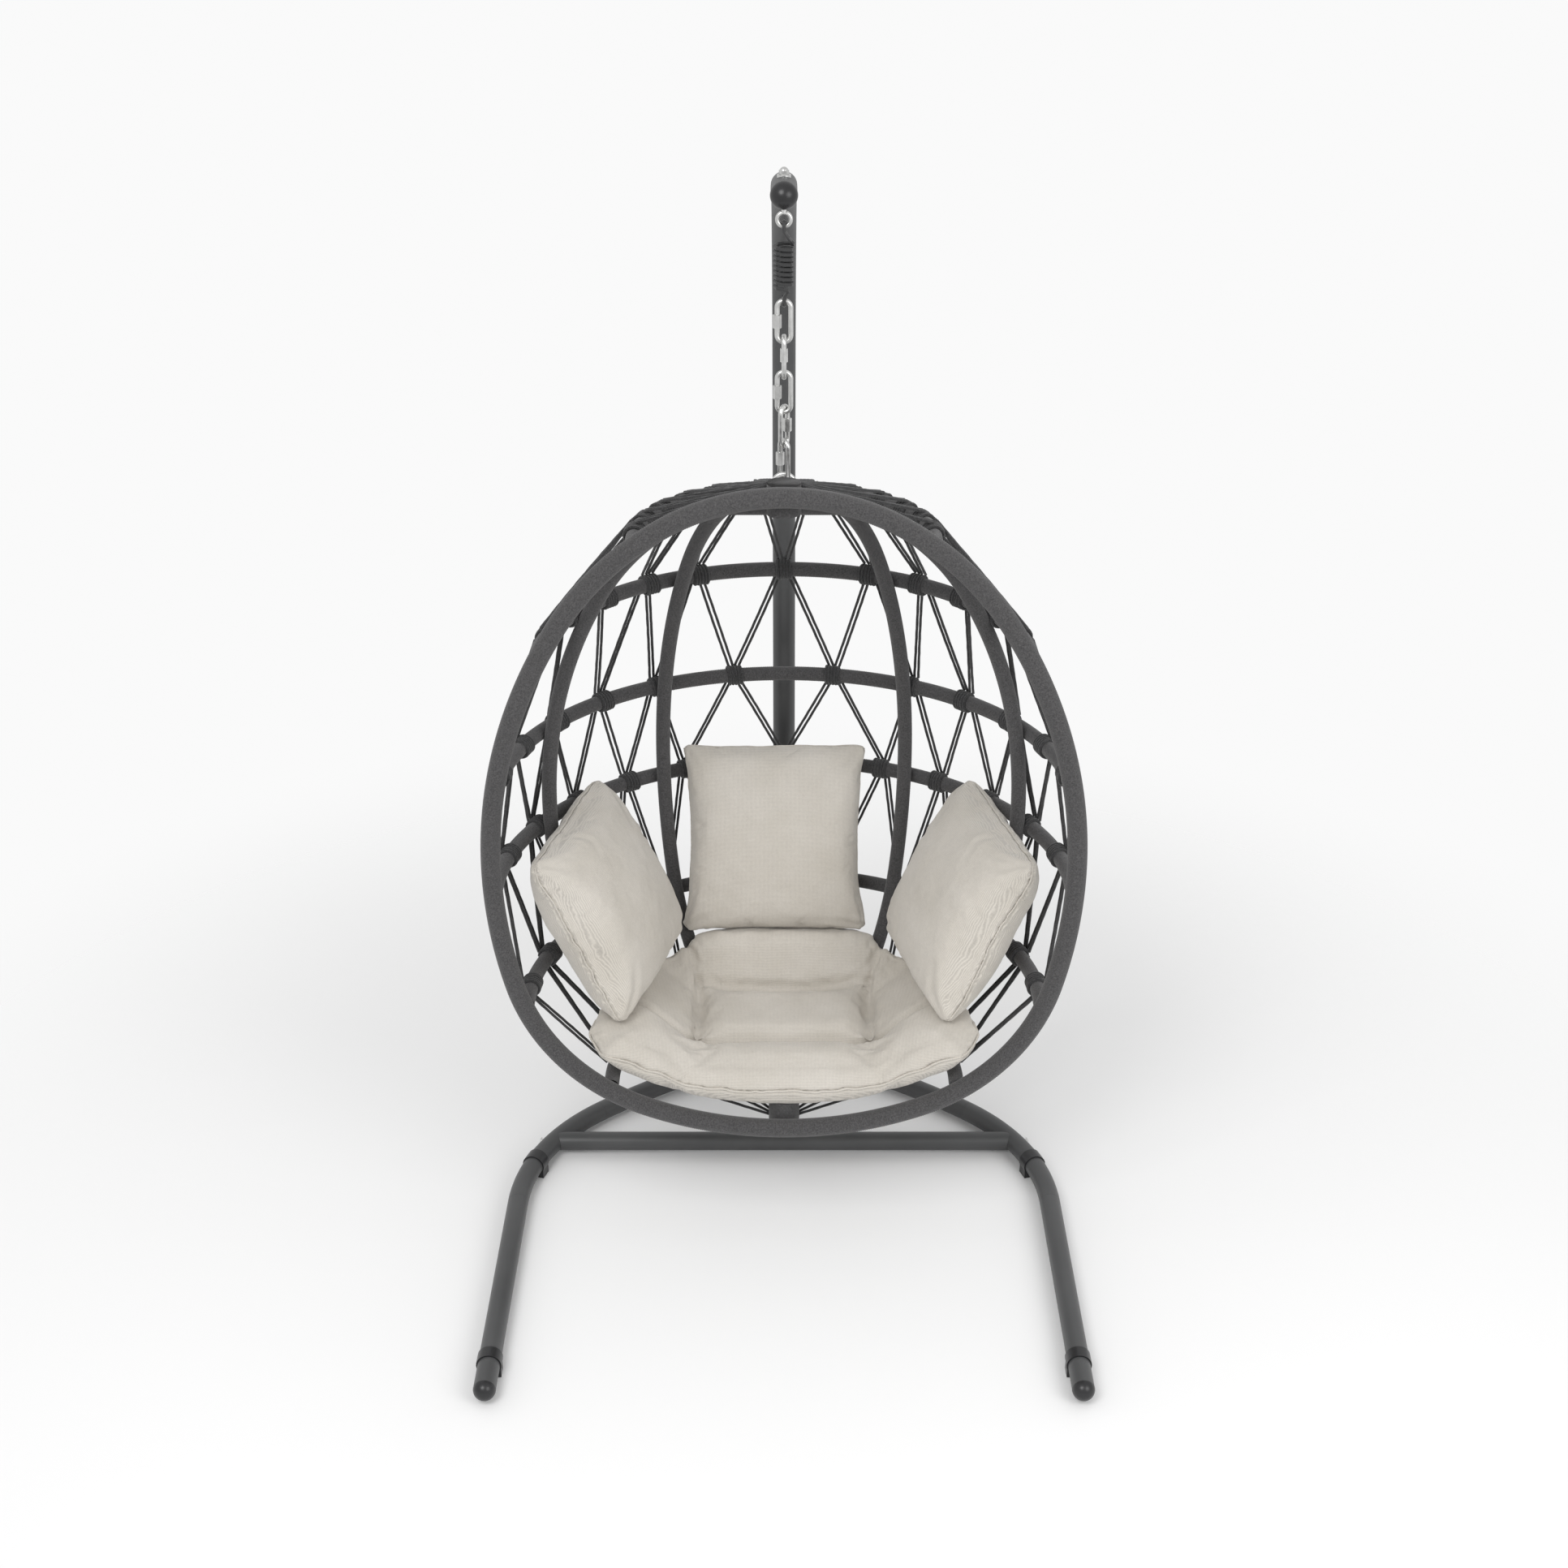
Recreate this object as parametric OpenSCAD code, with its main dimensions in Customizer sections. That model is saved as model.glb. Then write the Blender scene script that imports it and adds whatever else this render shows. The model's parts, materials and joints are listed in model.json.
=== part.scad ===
// Hanging egg chair: a wound-rope half-egg basket on a chain and spring, carried by a
// C-shaped floor frame with a swan-neck pole. Millimetres, +Z up, the floor is z = 0.
// The front of the chair faces -Y and the chair is symmetric about x = 0.

/* [Stand] */
// Distance between the centre lines of the two side tubes
stand_width = 996; // [900:2:1100]
// Overall depth of the floor frame, from the front caps to the back of the hub
stand_depth = 1080; // [980:2:1200]
// Outer diameter of the side tubes
side_tube_d = 38; // [32:0.5:45]
// Wall of the side tubes
side_tube_wall = 2; // [1.2:0.1:3]
// Radius of the front bend of each side tube
front_bend_r = 400; // [300:5:450]
// Angle turned by the front bend
front_bend_angle = 48; // [40:1:56]
// Direction of each side tube where it reaches the hub
hub_angle = 68; // [62:1:74]
// Outer diameter of the crossbar
crossbar_d = 36; // [28:0.5:36]
// Wall of the crossbar
crossbar_wall = 1.8; // [1.2:0.1:3]
// How far the crossbar lies behind the start of the front bends
crossbar_back = 196; // [150:1:220]
// Height of the rubber feet under the tubes
foot_h = 6; // [4:0.5:10]

/* [Pole] */
// Outer diameter of the pole
pole_d = 42; // [38:0.5:50]
// Wall of the pole
pole_wall = 2; // [1.5:0.1:3]
// Height of the pole's horizontal tip, to its centre line
pole_top = 1864; // [1700:2:2050]
// Radius of the swan neck
neck_r = 402; // [340:2:440]
// Straight tip in front of the eye bolt
tip_len = 47; // [30:1:80]
// Height at which the two pole sections meet
pole_joint_z = 640; // [500:5:900]

/* [Chain] */
// Wire diameter of the spring
spring_wire = 6.8; // [5:0.1:8]
// Outside diameter of the spring's coil
spring_d = 36.5; // [32:0.5:44]
// Turns in the spring's coil
spring_turns = 8.75; // [6.75:1:11.75]
// Rise of the coil in one turn
spring_pitch = 7.8; // [7.6:0.1:10]
// Wire diameter of the chain links and the ring
link_wire = 8; // [7:0.5:9]
// Outside length of a chain link
link_len = 74; // [64:1:86]
// Outside width of a chain link
link_w = 30; // [28:0.5:36]
// Outside diameter of the ring on the basket
ring_d = 44; // [40:1:56]

/* [Basket] */
// Half of the basket's width, to the rim's centre line
rim_half = 492; // [450:1:540]
// Radius of the rim's sides above its widest level
upper_side_r = 822; // [700:2:900]
// Angle of the sides above the widest level
upper_side_angle = 32.4; // [28:0.1:36]
// Radius of the rim's shoulders
shoulder_r = 508; // [440:2:560]
// Angle at which the shoulders meet the crown
shoulder_angle = 58.9; // [52:0.1:64]
// Radius of the rim's sides below its widest level
lower_side_r = 888; // [760:2:960]
// Angle of the sides below the widest level
lower_side_angle = 14.5; // [10:0.1:18]
// Radius of the rim's lower corners
corner_r = 366; // [320:2:400]
// Angle at which the lower corners meet the floor of the basket
corner_angle = 68; // [62:0.5:72]
// Diameter of the rim with its winding
rim_d = 34; // [28:0.5:40]
// Diameter of the hoops, ribs and bar with their winding
hoop_d = 27; // [22:0.5:30]
// Thickness of the rope winding on the rim, hoops, ribs and bar
wrap_t = 3.7; // [2.5:0.1:5]
// Wall of the steel tubes in the basket
basket_wall = 1.3; // [1:0.1:2]
// How far the front rim stands ahead of the hanging axis
rim_forward = 222; // [190:1:240]
// Diameter of the two hubs in which the ribs meet
hub_ring_d = 55; // [54:0.5:70]
// Diameter of the net's cord
cord_d = 5.5; // [4:0.1:6]
// Angle between a knot on one hoop and the next knot on its neighbour, at the middle of the back
middle_step = 11; // [10:0.5:12]
// The same angle at the sides of the basket
side_step = 7; // [6.5:0.1:7.4]

/* [Cushions] */
// Radius of the seat cushion's round back edge
seat_r = 352; // [300:1:356]
// Height of the seat pad's top above the basket's floor
seat_pad_h = 87; // [70:1:100]
// Width of the back pillow
pillow_w = 362; // [330:2:370]
// Height of the back pillow
pillow_l = 366; // [330:2:380]
// Long side of the side pillows
side_pillow_l = 345; // [310:1:350]
// Short side of the side pillows
side_pillow_w = 330; // [300:2:340]
// Thickness of the back pillow at its crown
pillow_t = 120; // [90:2:130]
// Thickness of the side pillows at their crowns
side_pillow_t = 146; // [110:2:150]

/* [Hidden] */

$fn = 40;
ring_fn = 40;            // corners round a bent tube
bend_fn = 240;           // steps along a full turn of a bend
steel = "#3b3d3f";
zinc = "#c9ccce";
rope = "#6b6b6b";
linen = "#cfc9bf";
black = "#191a1b";

slip = 0.2;              // clearance of a tube or stud in its socket
seat_gap = 0.3;          // clearance between pieces that rest against each other
hairline = 0.3;          // joint between two lengths of one bent tube
bolt_d = 8;
bolt_hole = 8.6;
eps = 0.01;

// ---- stand ----
tube_r = side_tube_d / 2;
tube_z = foot_h + tube_r;
hub_d = 50;
hub_y = stand_depth / 2 - hub_d / 2;
cap_r = tube_r + 0.25;
half_w = stand_width / 2;
bend_cx = half_w - front_bend_r;
bend_end_x = bend_cx + front_bend_r * cos(front_bend_angle);
rear_r = bend_end_x / (cos(front_bend_angle) - cos(hub_angle));
rear_cx = bend_end_x - rear_r * cos(front_bend_angle);
rear_cy = hub_y - rear_r * sin(hub_angle);
bend_y = rear_cy + (rear_r - front_bend_r) * sin(front_bend_angle);
front_end_y = -stand_depth / 2 + cap_r;
hub_end_angle = hub_angle - asin((hub_d / 2 + seat_gap) / rear_r);
stub_r = tube_r - side_tube_wall - slip;
stub_len_angle = 4.2;
hub_top = tube_z + tube_r + 14;
spigot_h = 100;
hub_bore_r = 15.6;
crossbar_y = bend_y + crossbar_back;
crossbar_angle = asin(crossbar_back / front_bend_r);
crossbar_x = bend_cx + front_bend_r * cos(crossbar_angle);

// ---- pole ----
pole_r = pole_d / 2;
pole_bore = pole_r - pole_wall;
spigot_r = pole_bore - slip;
hang_y = hub_y - neck_r;
neck_z = pole_top - neck_r;
swage_l = 80;

// ---- eye bolt, spring, links and ring, from the top down ----
eye_r = 10.5;            // mean radius of the eye
eye_wire = 7;
eye_z = pole_top - pole_r - 25;
eye_wire_z = eye_z - eye_r;
hook_r = eye_wire / 2 + seat_gap + spring_wire / 2;
coil_r = (spring_d - spring_wire) / 2;
coil_top = eye_wire_z - 28;
coil_bottom = coil_top - spring_turns * spring_pitch;
low_hook_r = link_wire / 2 + seat_gap + spring_wire / 2;
link_top_z = coil_bottom - 21;
link_half = link_len / 2 - link_wire / 2;
link_bow = link_w / 2 - link_wire / 2;
link_straight = link_half - link_bow;
twisted_gap = 1;         // extra room between links that cross at a slant
link_gaps = [seat_gap, seat_gap, twisted_gap, twisted_gap, twisted_gap];
link_turn = [180, 90, 180, 60, 126];
function link_z(k) = k == 0 ? link_top_z - link_half
    : link_z(k - 1) - 2 * link_half + link_wire + link_gaps[k - 1];
ring_r = (ring_d - link_wire) / 2;
ring_z = link_z(4) - link_half + link_wire + link_gaps[4] - ring_r;
lug_h = 4;               // the ring stands on the bar by this much

// ---- basket: one egg outline, made of tangent arcs, gives the rim, the ribs and the hoops ----
// each arc is [centre x, centre height, radius, first angle, last angle]
function outline(r1, a1, r2, a2) = let (
    c1 = rim_half - r1,
    c2x = c1 + (r1 - r2) * cos(a1),
    c2z = (r1 - r2) * sin(a1),
    r3 = r2 + c2x / cos(a2),
    c3z = c2z + (r2 - r3) * sin(a2))
    [[c1, 0, r1, 0, a1], [c2x, c2z, r2, a1, a2], [0, c3z, r3, a2, 90]];
upper = outline(upper_side_r, upper_side_angle, shoulder_r, shoulder_angle);
lower = outline(lower_side_r, lower_side_angle, corner_r, corner_angle);
function arc_at(arcs, h, inset) = h < arcs[0][1] + (arcs[0][2] - inset) * sin(arcs[0][4]) ? arcs[0]
    : h < arcs[1][1] + (arcs[1][2] - inset) * sin(arcs[1][4]) ? arcs[1] : arcs[2];
// horizontal radius and normal angle of the outline at a height above its widest level
function egg_arc(h, inset = 0) = arc_at(h < 0 ? lower : upper, abs(h), inset);
function egg_sin(h, inset = 0) = let (a = egg_arc(h, inset)) (abs(h) - a[1]) / (a[2] - inset);
function egg_x(h, inset = 0) = let (a = egg_arc(h, inset))
    a[0] + sqrt(pow(a[2] - inset, 2) - pow(abs(h) - a[1], 2));
function egg_normal(h, inset = 0) = (h < 0 ? -1 : 1) * asin(egg_sin(h, inset));
// height of the upper outline at a horizontal radius
function egg_top(r, inset = 0) = let (
    a = r < (upper[2][2] - inset) * cos(shoulder_angle) ? upper[2] : upper[1])
    a[1] + sqrt(pow(a[2] - inset, 2) - pow(r - a[0], 2));

rim_r = rim_d / 2;
hoop_r = hoop_d / 2;
rim_core_r = rim_r - wrap_t;
hoop_core_r = hoop_r - wrap_t;
hub_ring_r = hub_ring_d / 2;
rim_y = hang_y - rim_forward;
axis_y = rim_y + rim_r + hub_ring_r + seat_gap;
rib_inset = hoop_d + seat_gap;
// the net's knots are numbered from the middle of the back towards both sides
knots = 11;
function knot_az(i) = sign(i) * (min(abs(i), 2) * middle_step + max(abs(i) - 2, 0) * side_step);
// the ribs cross the hoops at the third and the eighth knots
rib_azimuths = [knot_az(3), knot_az(8)];
bar_reach = (hang_y - axis_y) / cos(rib_azimuths[0]);
bar_above_wide = egg_top(bar_reach, rib_inset);
bar_z = ring_z - ring_d / 2 - lug_h - hoop_r;
bar_half = (hang_y - axis_y) * tan(rib_azimuths[0]);
wide_z = bar_z - bar_above_wide;
crown_z = wide_z + upper[2][1] + upper[2][2];
floor_z = wide_z - lower[2][1] - lower[2][2];
crown_hub_h = 55;
bottom_hub_h = 52.5;
hub_edge = 4;            // rounding of the hubs' edges
// heights of the six hoops above the basket's widest level
hoop_h = [576, 376, 140, -45, -270, -439];
binding_r = hoop_r + cord_d;
binding_l = 28;
knot_out = 14;           // the net's cords lie this far outside the hoops' centre lines
pair_gap = 8;            // distance between the two cords of a pair
knot_in = 3;             // the inner cord of each pair meets its knot this far from the middle

// ---- cushions ----
bowl_inset = rib_inset + hoop_r + 0.4;
// height of the ribs' inner side at a distance from the basket's axis
function bowl(r) = let (a = r < (lower[2][2] - bowl_inset) * cos(corner_angle) ? lower[2] : lower[1])
    wide_z - a[1] - sqrt(pow(a[2] - bowl_inset, 2) - pow(r - a[0], 2));
seat_front_y = rim_y - 3;
seat_centre_y = axis_y + 160;
seat_top = bowl(0) + seat_pad_h;
tuft_x = 155;
tuft_front_y = hang_y - 113;
tuft_back_y = hang_y + 58;

// ================= shared shapes =================
// a tube bent to an arc in the plane of its own x and y, from angle a0 to a1
module arc_tube(r, a0, a1, outer, inner = 0) {
    rotate([0, 0, a0]) rotate_extrude(angle = a1 - a0, $fn = bend_fn) translate([r, 0]) difference() {
        circle(r = outer, $fn = ring_fn);
        if (inner > 0) circle(r = inner, $fn = ring_fn);
    }
}

module straight_tube(h, outer, inner = 0) {
    difference() {
        cylinder(r = outer, h = h);
        if (inner > 0) translate([0, 0, -1]) cylinder(r = inner, h = h + 2);
    }
}

// stands a shape that is drawn along z on its side, along x or along y
module along_x() { rotate([0, 90, 0]) children(); }
module along_y() { rotate([-90, 0, 0]) children(); }
module mirror_pair() { children(); mirror([1, 0, 0]) children(); }

module hex(across, h) { cylinder(r = across / sqrt(3), h = h, $fn = 6); }

// a round tube swept along points, with sides corners to each ring
function unit(v) = v / norm(v);
function tangents(p) = [for (i = [0:len(p) - 1]) unit(p[min(i + 1, len(p) - 1)] - p[max(i - 1, 0)])];
// each normal is the one before it, turned square to the next tangent
function carry_normals(t, i, list) = i == len(t) ? list
    : carry_normals(t, i + 1, concat(list, [unit(list[i - 1] - (list[i - 1] * t[i]) * t[i])]));
module swept_tube(p, r, sides = 6) {
    n = len(p);
    t = tangents(p);
    u = carry_normals(t, 1, [unit(cross(t[0], [0.9, 0.2, 0.3]))]);
    points = [for (i = [0:n - 1]) for (k = [0:sides - 1]) let (a = 360 * k / sides)
        p[i] + r * (cos(a) * u[i] + sin(a) * cross(t[i], u[i]))];
    walls = [for (i = [0:n - 2]) for (k = [0:sides - 1]) let (
        a = i * sides + k, b = i * sides + (k + 1) % sides, c = b + sides, d = a + sides)
        each [[a, c, b], [a, d, c]]];
    last = (n - 1) * sides;
    ends = [for (k = [1:sides - 2]) each [[0, k, k + 1], [last, last + k + 1, last + k]]];
    polyhedron(points, concat(walls, ends));
}

// ================= floor frame =================
// everything that follows a side tube: straight leg, front bend and rear bend
module side_path(outer, inner = 0, last = hub_end_angle) {
    translate([half_w, front_end_y, 0]) along_y()
        straight_tube(bend_y - front_end_y - hairline, outer, inner);
    translate([bend_cx, bend_y, 0]) arc_tube(front_bend_r, 0, front_bend_angle, outer, inner);
    translate([rear_cx, rear_cy, 0])
        arc_tube(rear_r, front_bend_angle + asin(hairline / rear_r), last, outer, inner);
}

module at_crossbar_end() { translate([crossbar_x, crossbar_y, tube_z]) children(); }
stub_bolt_angle = hub_end_angle - 2;
module at_stub_bolt() {
    translate([rear_cx + rear_r * cos(stub_bolt_angle), rear_cy + rear_r * sin(stub_bolt_angle), tube_z])
        children();
}

module side_tube() {
    color(steel) difference() {
        translate([0, 0, tube_z]) side_path(tube_r, tube_r - side_tube_wall);
        at_crossbar_end() along_x() cylinder(d = bolt_hole, h = 3 * side_tube_d, center = true);
        at_stub_bolt() cylinder(d = bolt_hole, h = 2 * side_tube_d, center = true);
    }
}

module crossbar() {
    plug_r = crossbar_d / 2 - crossbar_wall - slip;
    color(steel) difference() {
        union() {
            translate([-crossbar_x, crossbar_y, tube_z]) along_x()
                straight_tube(2 * crossbar_x, crossbar_d / 2, crossbar_d / 2 - crossbar_wall);
            mirror_pair() translate([crossbar_x - 60, crossbar_y, tube_z]) along_x()
                cylinder(r = crossbar_d / 2 - crossbar_wall + eps, h = 60);
        }
        mirror_pair() translate([0, 0, tube_z]) translate([bend_cx, bend_y, 0])
            arc_tube(front_bend_r, 0, front_bend_angle, tube_r + seat_gap);
        mirror_pair() at_crossbar_end() along_x()
            cylinder(d = bolt_d + 2 * slip, h = 2 * 62, center = true);
    }
}

module base_hub() {
    color(steel) difference() {
        union() {
            translate([0, hub_y, foot_h]) cylinder(d = hub_d, h = hub_top - foot_h);
            translate([0, hub_y, hub_top]) cylinder(r = spigot_r, h = spigot_h);
            mirror_pair() translate([rear_cx, rear_cy, tube_z])
                arc_tube(rear_r, hub_end_angle - stub_len_angle, hub_angle, stub_r);
        }
        translate([0, hub_y, 0]) cylinder(r = hub_bore_r, h = hub_top + spigot_h + 1);
        mirror_pair() at_stub_bolt() cylinder(d = bolt_hole, h = 2 * side_tube_d, center = true);
        translate([0, hub_y, hub_top + spigot_h / 2]) along_x()
            cylinder(d = bolt_hole, h = 2 * pole_d, center = true);
    }
}

module hub_foot() {
    color(black) translate([0, hub_y, 0]) {
        cylinder(d = hub_d, h = foot_h - slip);
        cylinder(r = hub_bore_r - slip, h = foot_h + 14);
    }
}

// a clip's outline across its tube: a ring with a broad foot down to the floor
clip_t = 2.6;
clip_l = 24;
module clip_outline() {
    difference() {
        union() {
            circle(r = tube_r + clip_t);
            translate([-tube_r - 1, -tube_z]) square([2 * tube_r + 2, tube_z]);
        }
        circle(r = tube_r + slip);
    }
}
module foot_clips() {
    clip_angle = 18.4;
    color(black) mirror_pair() {
        translate([half_w, front_end_y + 58 + clip_l, tube_z]) rotate([90, 0, 0])
            linear_extrude(clip_l) clip_outline();
        translate([bend_cx, bend_y, tube_z]) rotate([0, 0, clip_angle - 1.8])
            rotate_extrude(angle = 3.6, $fn = bend_fn) translate([front_bend_r, 0]) clip_outline();
    }
}

module leg_end_caps() {
    color(black) mirror_pair() translate([half_w, front_end_y, tube_z]) {
        difference() {
            sphere(r = cap_r, $fn = 64);
            translate([-50, 0, -50]) cube(100);
        }
        along_y() cylinder(r = tube_r - side_tube_wall - slip, h = 20);
    }
}

// ================= pole =================
module pole_lower() {
    top = pole_joint_z;
    color(steel) difference() {
        translate([0, hub_y, 0]) rotate_extrude() polygon([
            [pole_bore, hub_top], [pole_r, hub_top], [pole_r, top - 6], [pole_r - 1, top],
            [spigot_r, top], [spigot_r, top + swage_l], [spigot_r - pole_wall, top + swage_l],
            [spigot_r - pole_wall, top - 4], [pole_bore, top - 10]]);
        translate([0, hub_y, hub_top + spigot_h / 2]) along_x()
            cylinder(d = bolt_hole, h = 2 * pole_d, center = true);
        translate([0, hub_y, top + swage_l / 2]) along_x()
            cylinder(d = bolt_hole, h = 2 * pole_d, center = true);
    }
}

module pole_upper() {
    color(steel) difference() {
        union() {
            translate([0, hub_y, pole_joint_z]) straight_tube(neck_z - pole_joint_z, pole_r, pole_bore);
            translate([0, hang_y, neck_z]) rotate([90, 0, 90]) arc_tube(neck_r, 0, 90, pole_r, pole_bore);
            translate([0, hang_y - tip_len, pole_top]) along_y() straight_tube(tip_len, pole_r, pole_bore);
        }
        translate([0, hang_y, pole_top]) cylinder(d = bolt_hole, h = 2 * pole_d, center = true);
        translate([0, hub_y, pole_joint_z + swage_l / 2]) along_x()
            cylinder(d = bolt_hole, h = 2 * pole_d, center = true);
    }
}

module pole_end_cap() {
    color(black) translate([0, hang_y - tip_len, pole_top]) {
        difference() {
            sphere(r = pole_r + 0.8, $fn = 64);
            translate([-50, 0, -50]) cube(100);
        }
        along_y() cylinder(r = pole_bore - slip, h = 24);
    }
}

// ================= fasteners =================
head_r = 7.5;
head_h = 4.5;
nut_h = 6.5;
// a button-head bolt along +z whose head bears on z = 0, with its nut's seat at z = grip
module button_bolt(grip) {
    translate([0, 0, -head_h]) intersection() {
        cylinder(r = head_r, h = head_h);
        translate([0, 0, head_r * 1.2]) sphere(r = head_r * 1.2, $fn = 48);
    }
    cylinder(d = bolt_d, h = grip + nut_h + 2);
}
module bolt_nut() {
    difference() {
        hex(13, nut_h);
        translate([0, 0, -1]) cylinder(d = bolt_d + 2 * slip, h = nut_h + 2);
    }
}
// the pole's two bolts lie along x; the hub's two stub bolts stand up through the tubes
module at_pole_bolt(z) { translate([-pole_r, hub_y, z]) along_x() children(); }
crossbar_head_x = crossbar_x + tube_r / cos(crossbar_angle) + head_r * tan(crossbar_angle);
module frame_bolts() {
    color(zinc) {
        at_pole_bolt(hub_top + spigot_h / 2) button_bolt(pole_d);
        at_pole_bolt(pole_joint_z + swage_l / 2) button_bolt(pole_d);
        mirror_pair() at_stub_bolt() translate([0, 0, tube_r]) mirror([0, 0, 1])
            button_bolt(side_tube_d - 10);
        mirror_pair() translate([crossbar_head_x, crossbar_y, tube_z]) rotate([0, -90, 0])
            button_bolt(60);
    }
}
module frame_nuts() {
    color(zinc) {
        translate([pole_d, 0, 0]) at_pole_bolt(hub_top + spigot_h / 2) bolt_nut();
        translate([pole_d, 0, 0]) at_pole_bolt(pole_joint_z + swage_l / 2) bolt_nut();
    }
}

module eye_bolt() {
    color(zinc) {
        translate([0, hang_y, eye_z]) rotate([90, 0, 0]) rotate_extrude() translate([eye_r, 0])
            circle(d = eye_wire);
        translate([0, hang_y, eye_z + eye_r]) cylinder(d = bolt_d, h = pole_top + pole_r + 10 - eye_z - eye_r);
    }
}

washer_d = 22;
module saddle_washers() {
    color(zinc) for (up = [0, 1]) translate([0, hang_y, pole_top]) mirror([0, 0, 1 - up]) difference() {
        translate([0, 0, pole_r - 4]) cylinder(d = washer_d, h = 6);
        along_y() cylinder(r = pole_r + slip, h = 2 * pole_d, center = true);
        cylinder(d = bolt_hole, h = 3 * pole_d);
    }
}

acorn_base = 6.5;
module acorn_nut() {
    color(zinc) translate([0, hang_y, pole_top + pole_r + 2]) difference() {
        union() {
            hex(14, acorn_base);
            translate([0, 0, acorn_base - 2]) intersection() {
                sphere(r = 7, $fn = 48);
                cylinder(r = 8, h = 8);
            }
        }
        translate([0, 0, -1]) cylinder(d = bolt_d + 2 * slip, h = acorn_base + 3);
    }
}

module jam_nut() {
    color(zinc) translate([0, hang_y, pole_top - pole_r - 2 - nut_h]) bolt_nut();
}

// ================= spring and chain =================
coil_steps = 8;
hook_steps = 9;
function bezier(a, b, c, d, t) = pow(1 - t, 3) * a + 3 * pow(1 - t, 2) * t * b
    + 3 * (1 - t) * t * t * c + t * t * t * d;
// a hook lies in the plane x = 0: its loop goes round the wire it hangs on, or that hangs in it
function hook_loop(z, r, up) = [for (k = [0:hook_steps - 1]) let (a = -50 + 250 * k / (hook_steps - 1))
    [0, hang_y + r * cos(a), z + up * r * sin(a)]];
function coil_point(t) = [coil_r * cos(360 * t), hang_y + coil_r * sin(360 * t),
    coil_top - spring_pitch * t];
function spring_points() = let (
    n = floor(spring_turns * coil_steps),
    top = hook_loop(eye_wire_z, hook_r, 1),
    low = hook_loop(link_top_z, low_hook_r, -1),
    first = coil_point(0),
    last = coil_point(n / coil_steps),
    last_dir = unit(coil_point(n / coil_steps) - coil_point((n - 0.2) / coil_steps)))
    concat(top,
        [for (t = [1:5]) bezier(top[hook_steps - 1], top[hook_steps - 1] + [0, 3, -10],
            first + [0, -16, 5], first, t / 6)],
        [for (i = [0:n]) coil_point(i / coil_steps)],
        [for (t = [1:5]) bezier(last, last + 14 * last_dir + [0, 0, -3],
            low[hook_steps - 1] + [0, 2, 10], low[hook_steps - 1], t / 6)],
        [for (k = [hook_steps - 1:-1:0]) low[k]]);
// least distance between the wire's surface and itself, away from neighbouring points
function spring_clearance(p, apart = 7) = min([for (i = [0:len(p) - 1 - apart])
    min([for (j = [i + apart:len(p) - 1]) norm(p[i] - p[j])])]) - spring_wire;
echo(spring_least_gap = spring_clearance(spring_points()));
module spring() { color(black) swept_tube(spring_points(), spring_wire / 2); }

thread_gap = 14;
sleeve_l = 22;
sleeve_across = 12.5;
module at_link(k) { translate([0, hang_y, link_z(k)]) rotate([0, 0, link_turn[k]]) children(); }
// an oval link with a threaded opening in the middle of its +x limb
module link(k) {
    color(zinc) at_link(k) difference() {
        union() {
            for (end = [0, 1]) mirror([0, 0, end]) translate([0, 0, link_straight]) rotate([90, 0, 0])
                arc_tube(link_bow, 0, 180, link_wire / 2);
            for (side = [-1, 1]) translate([side * link_bow, 0, -link_straight])
                cylinder(d = link_wire, h = 2 * link_straight);
        }
        translate([link_bow, 0, 0]) cylinder(d = 2 * link_wire, h = thread_gap, center = true);
    }
}
module link_sleeve(k) {
    color(zinc) at_link(k) translate([link_bow, 0, -sleeve_l / 2]) difference() {
        intersection() {
            hex(sleeve_across, sleeve_l);
            cylinder(r1 = sleeve_across / 2 - 0.3 + 1.8 * sleeve_l, r2 = sleeve_across / 2 - 0.3, h = sleeve_l);
            cylinder(r2 = sleeve_across / 2 - 0.3 + 1.8 * sleeve_l, r1 = sleeve_across / 2 - 0.3, h = sleeve_l);
        }
        translate([0, 0, -1]) cylinder(d = link_wire + slip, h = sleeve_l + 2);
    }
}

module hang_ring() {
    color(zinc) difference() {
        union() {
            translate([0, hang_y, ring_z]) rotate([90, 0, 0]) rotate_extrude() translate([ring_r, 0])
                circle(d = link_wire);
            translate([0, hang_y, bar_z]) cylinder(d = 13, h = ring_z - ring_r - bar_z);
        }
        translate([-50, hang_y, bar_z]) along_x() cylinder(r = hoop_r + seat_gap, h = 100);
    }
}

// ================= basket frame =================
// one side of the egg outline in the plane y = 0, x > 0, between two normal angles
// the arcs are separate lengths that meet end to end with a hairline joint
module egg_side(inset, outer, inner, from = -90, to = 90) {
    for (half = [lower, upper]) for (a = half) {
        sign = half == upper ? 1 : -1;
        joint = asin(hairline / 2 / (a[2] - inset));
        lo = max(sign > 0 ? a[3] : -a[4], from) + joint;
        hi = min(sign > 0 ? a[4] : -a[3], to) - joint;
        if (hi > lo) translate([a[0], 0, wide_z + sign * a[1]]) rotate([90, 0, 0])
            arc_tube(a[2] - inset, lo, hi, outer, inner);
    }
}

module rim(outer, inner) {
    translate([0, rim_y, 0]) mirror_pair() egg_side(0, outer, inner);
}
module rim_tube() { color(steel) rim(rim_core_r - seat_gap / 2, rim_core_r - basket_wall); }
module rim_winding() { color(rope) rim(rim_r, rim_core_r); }

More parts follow.
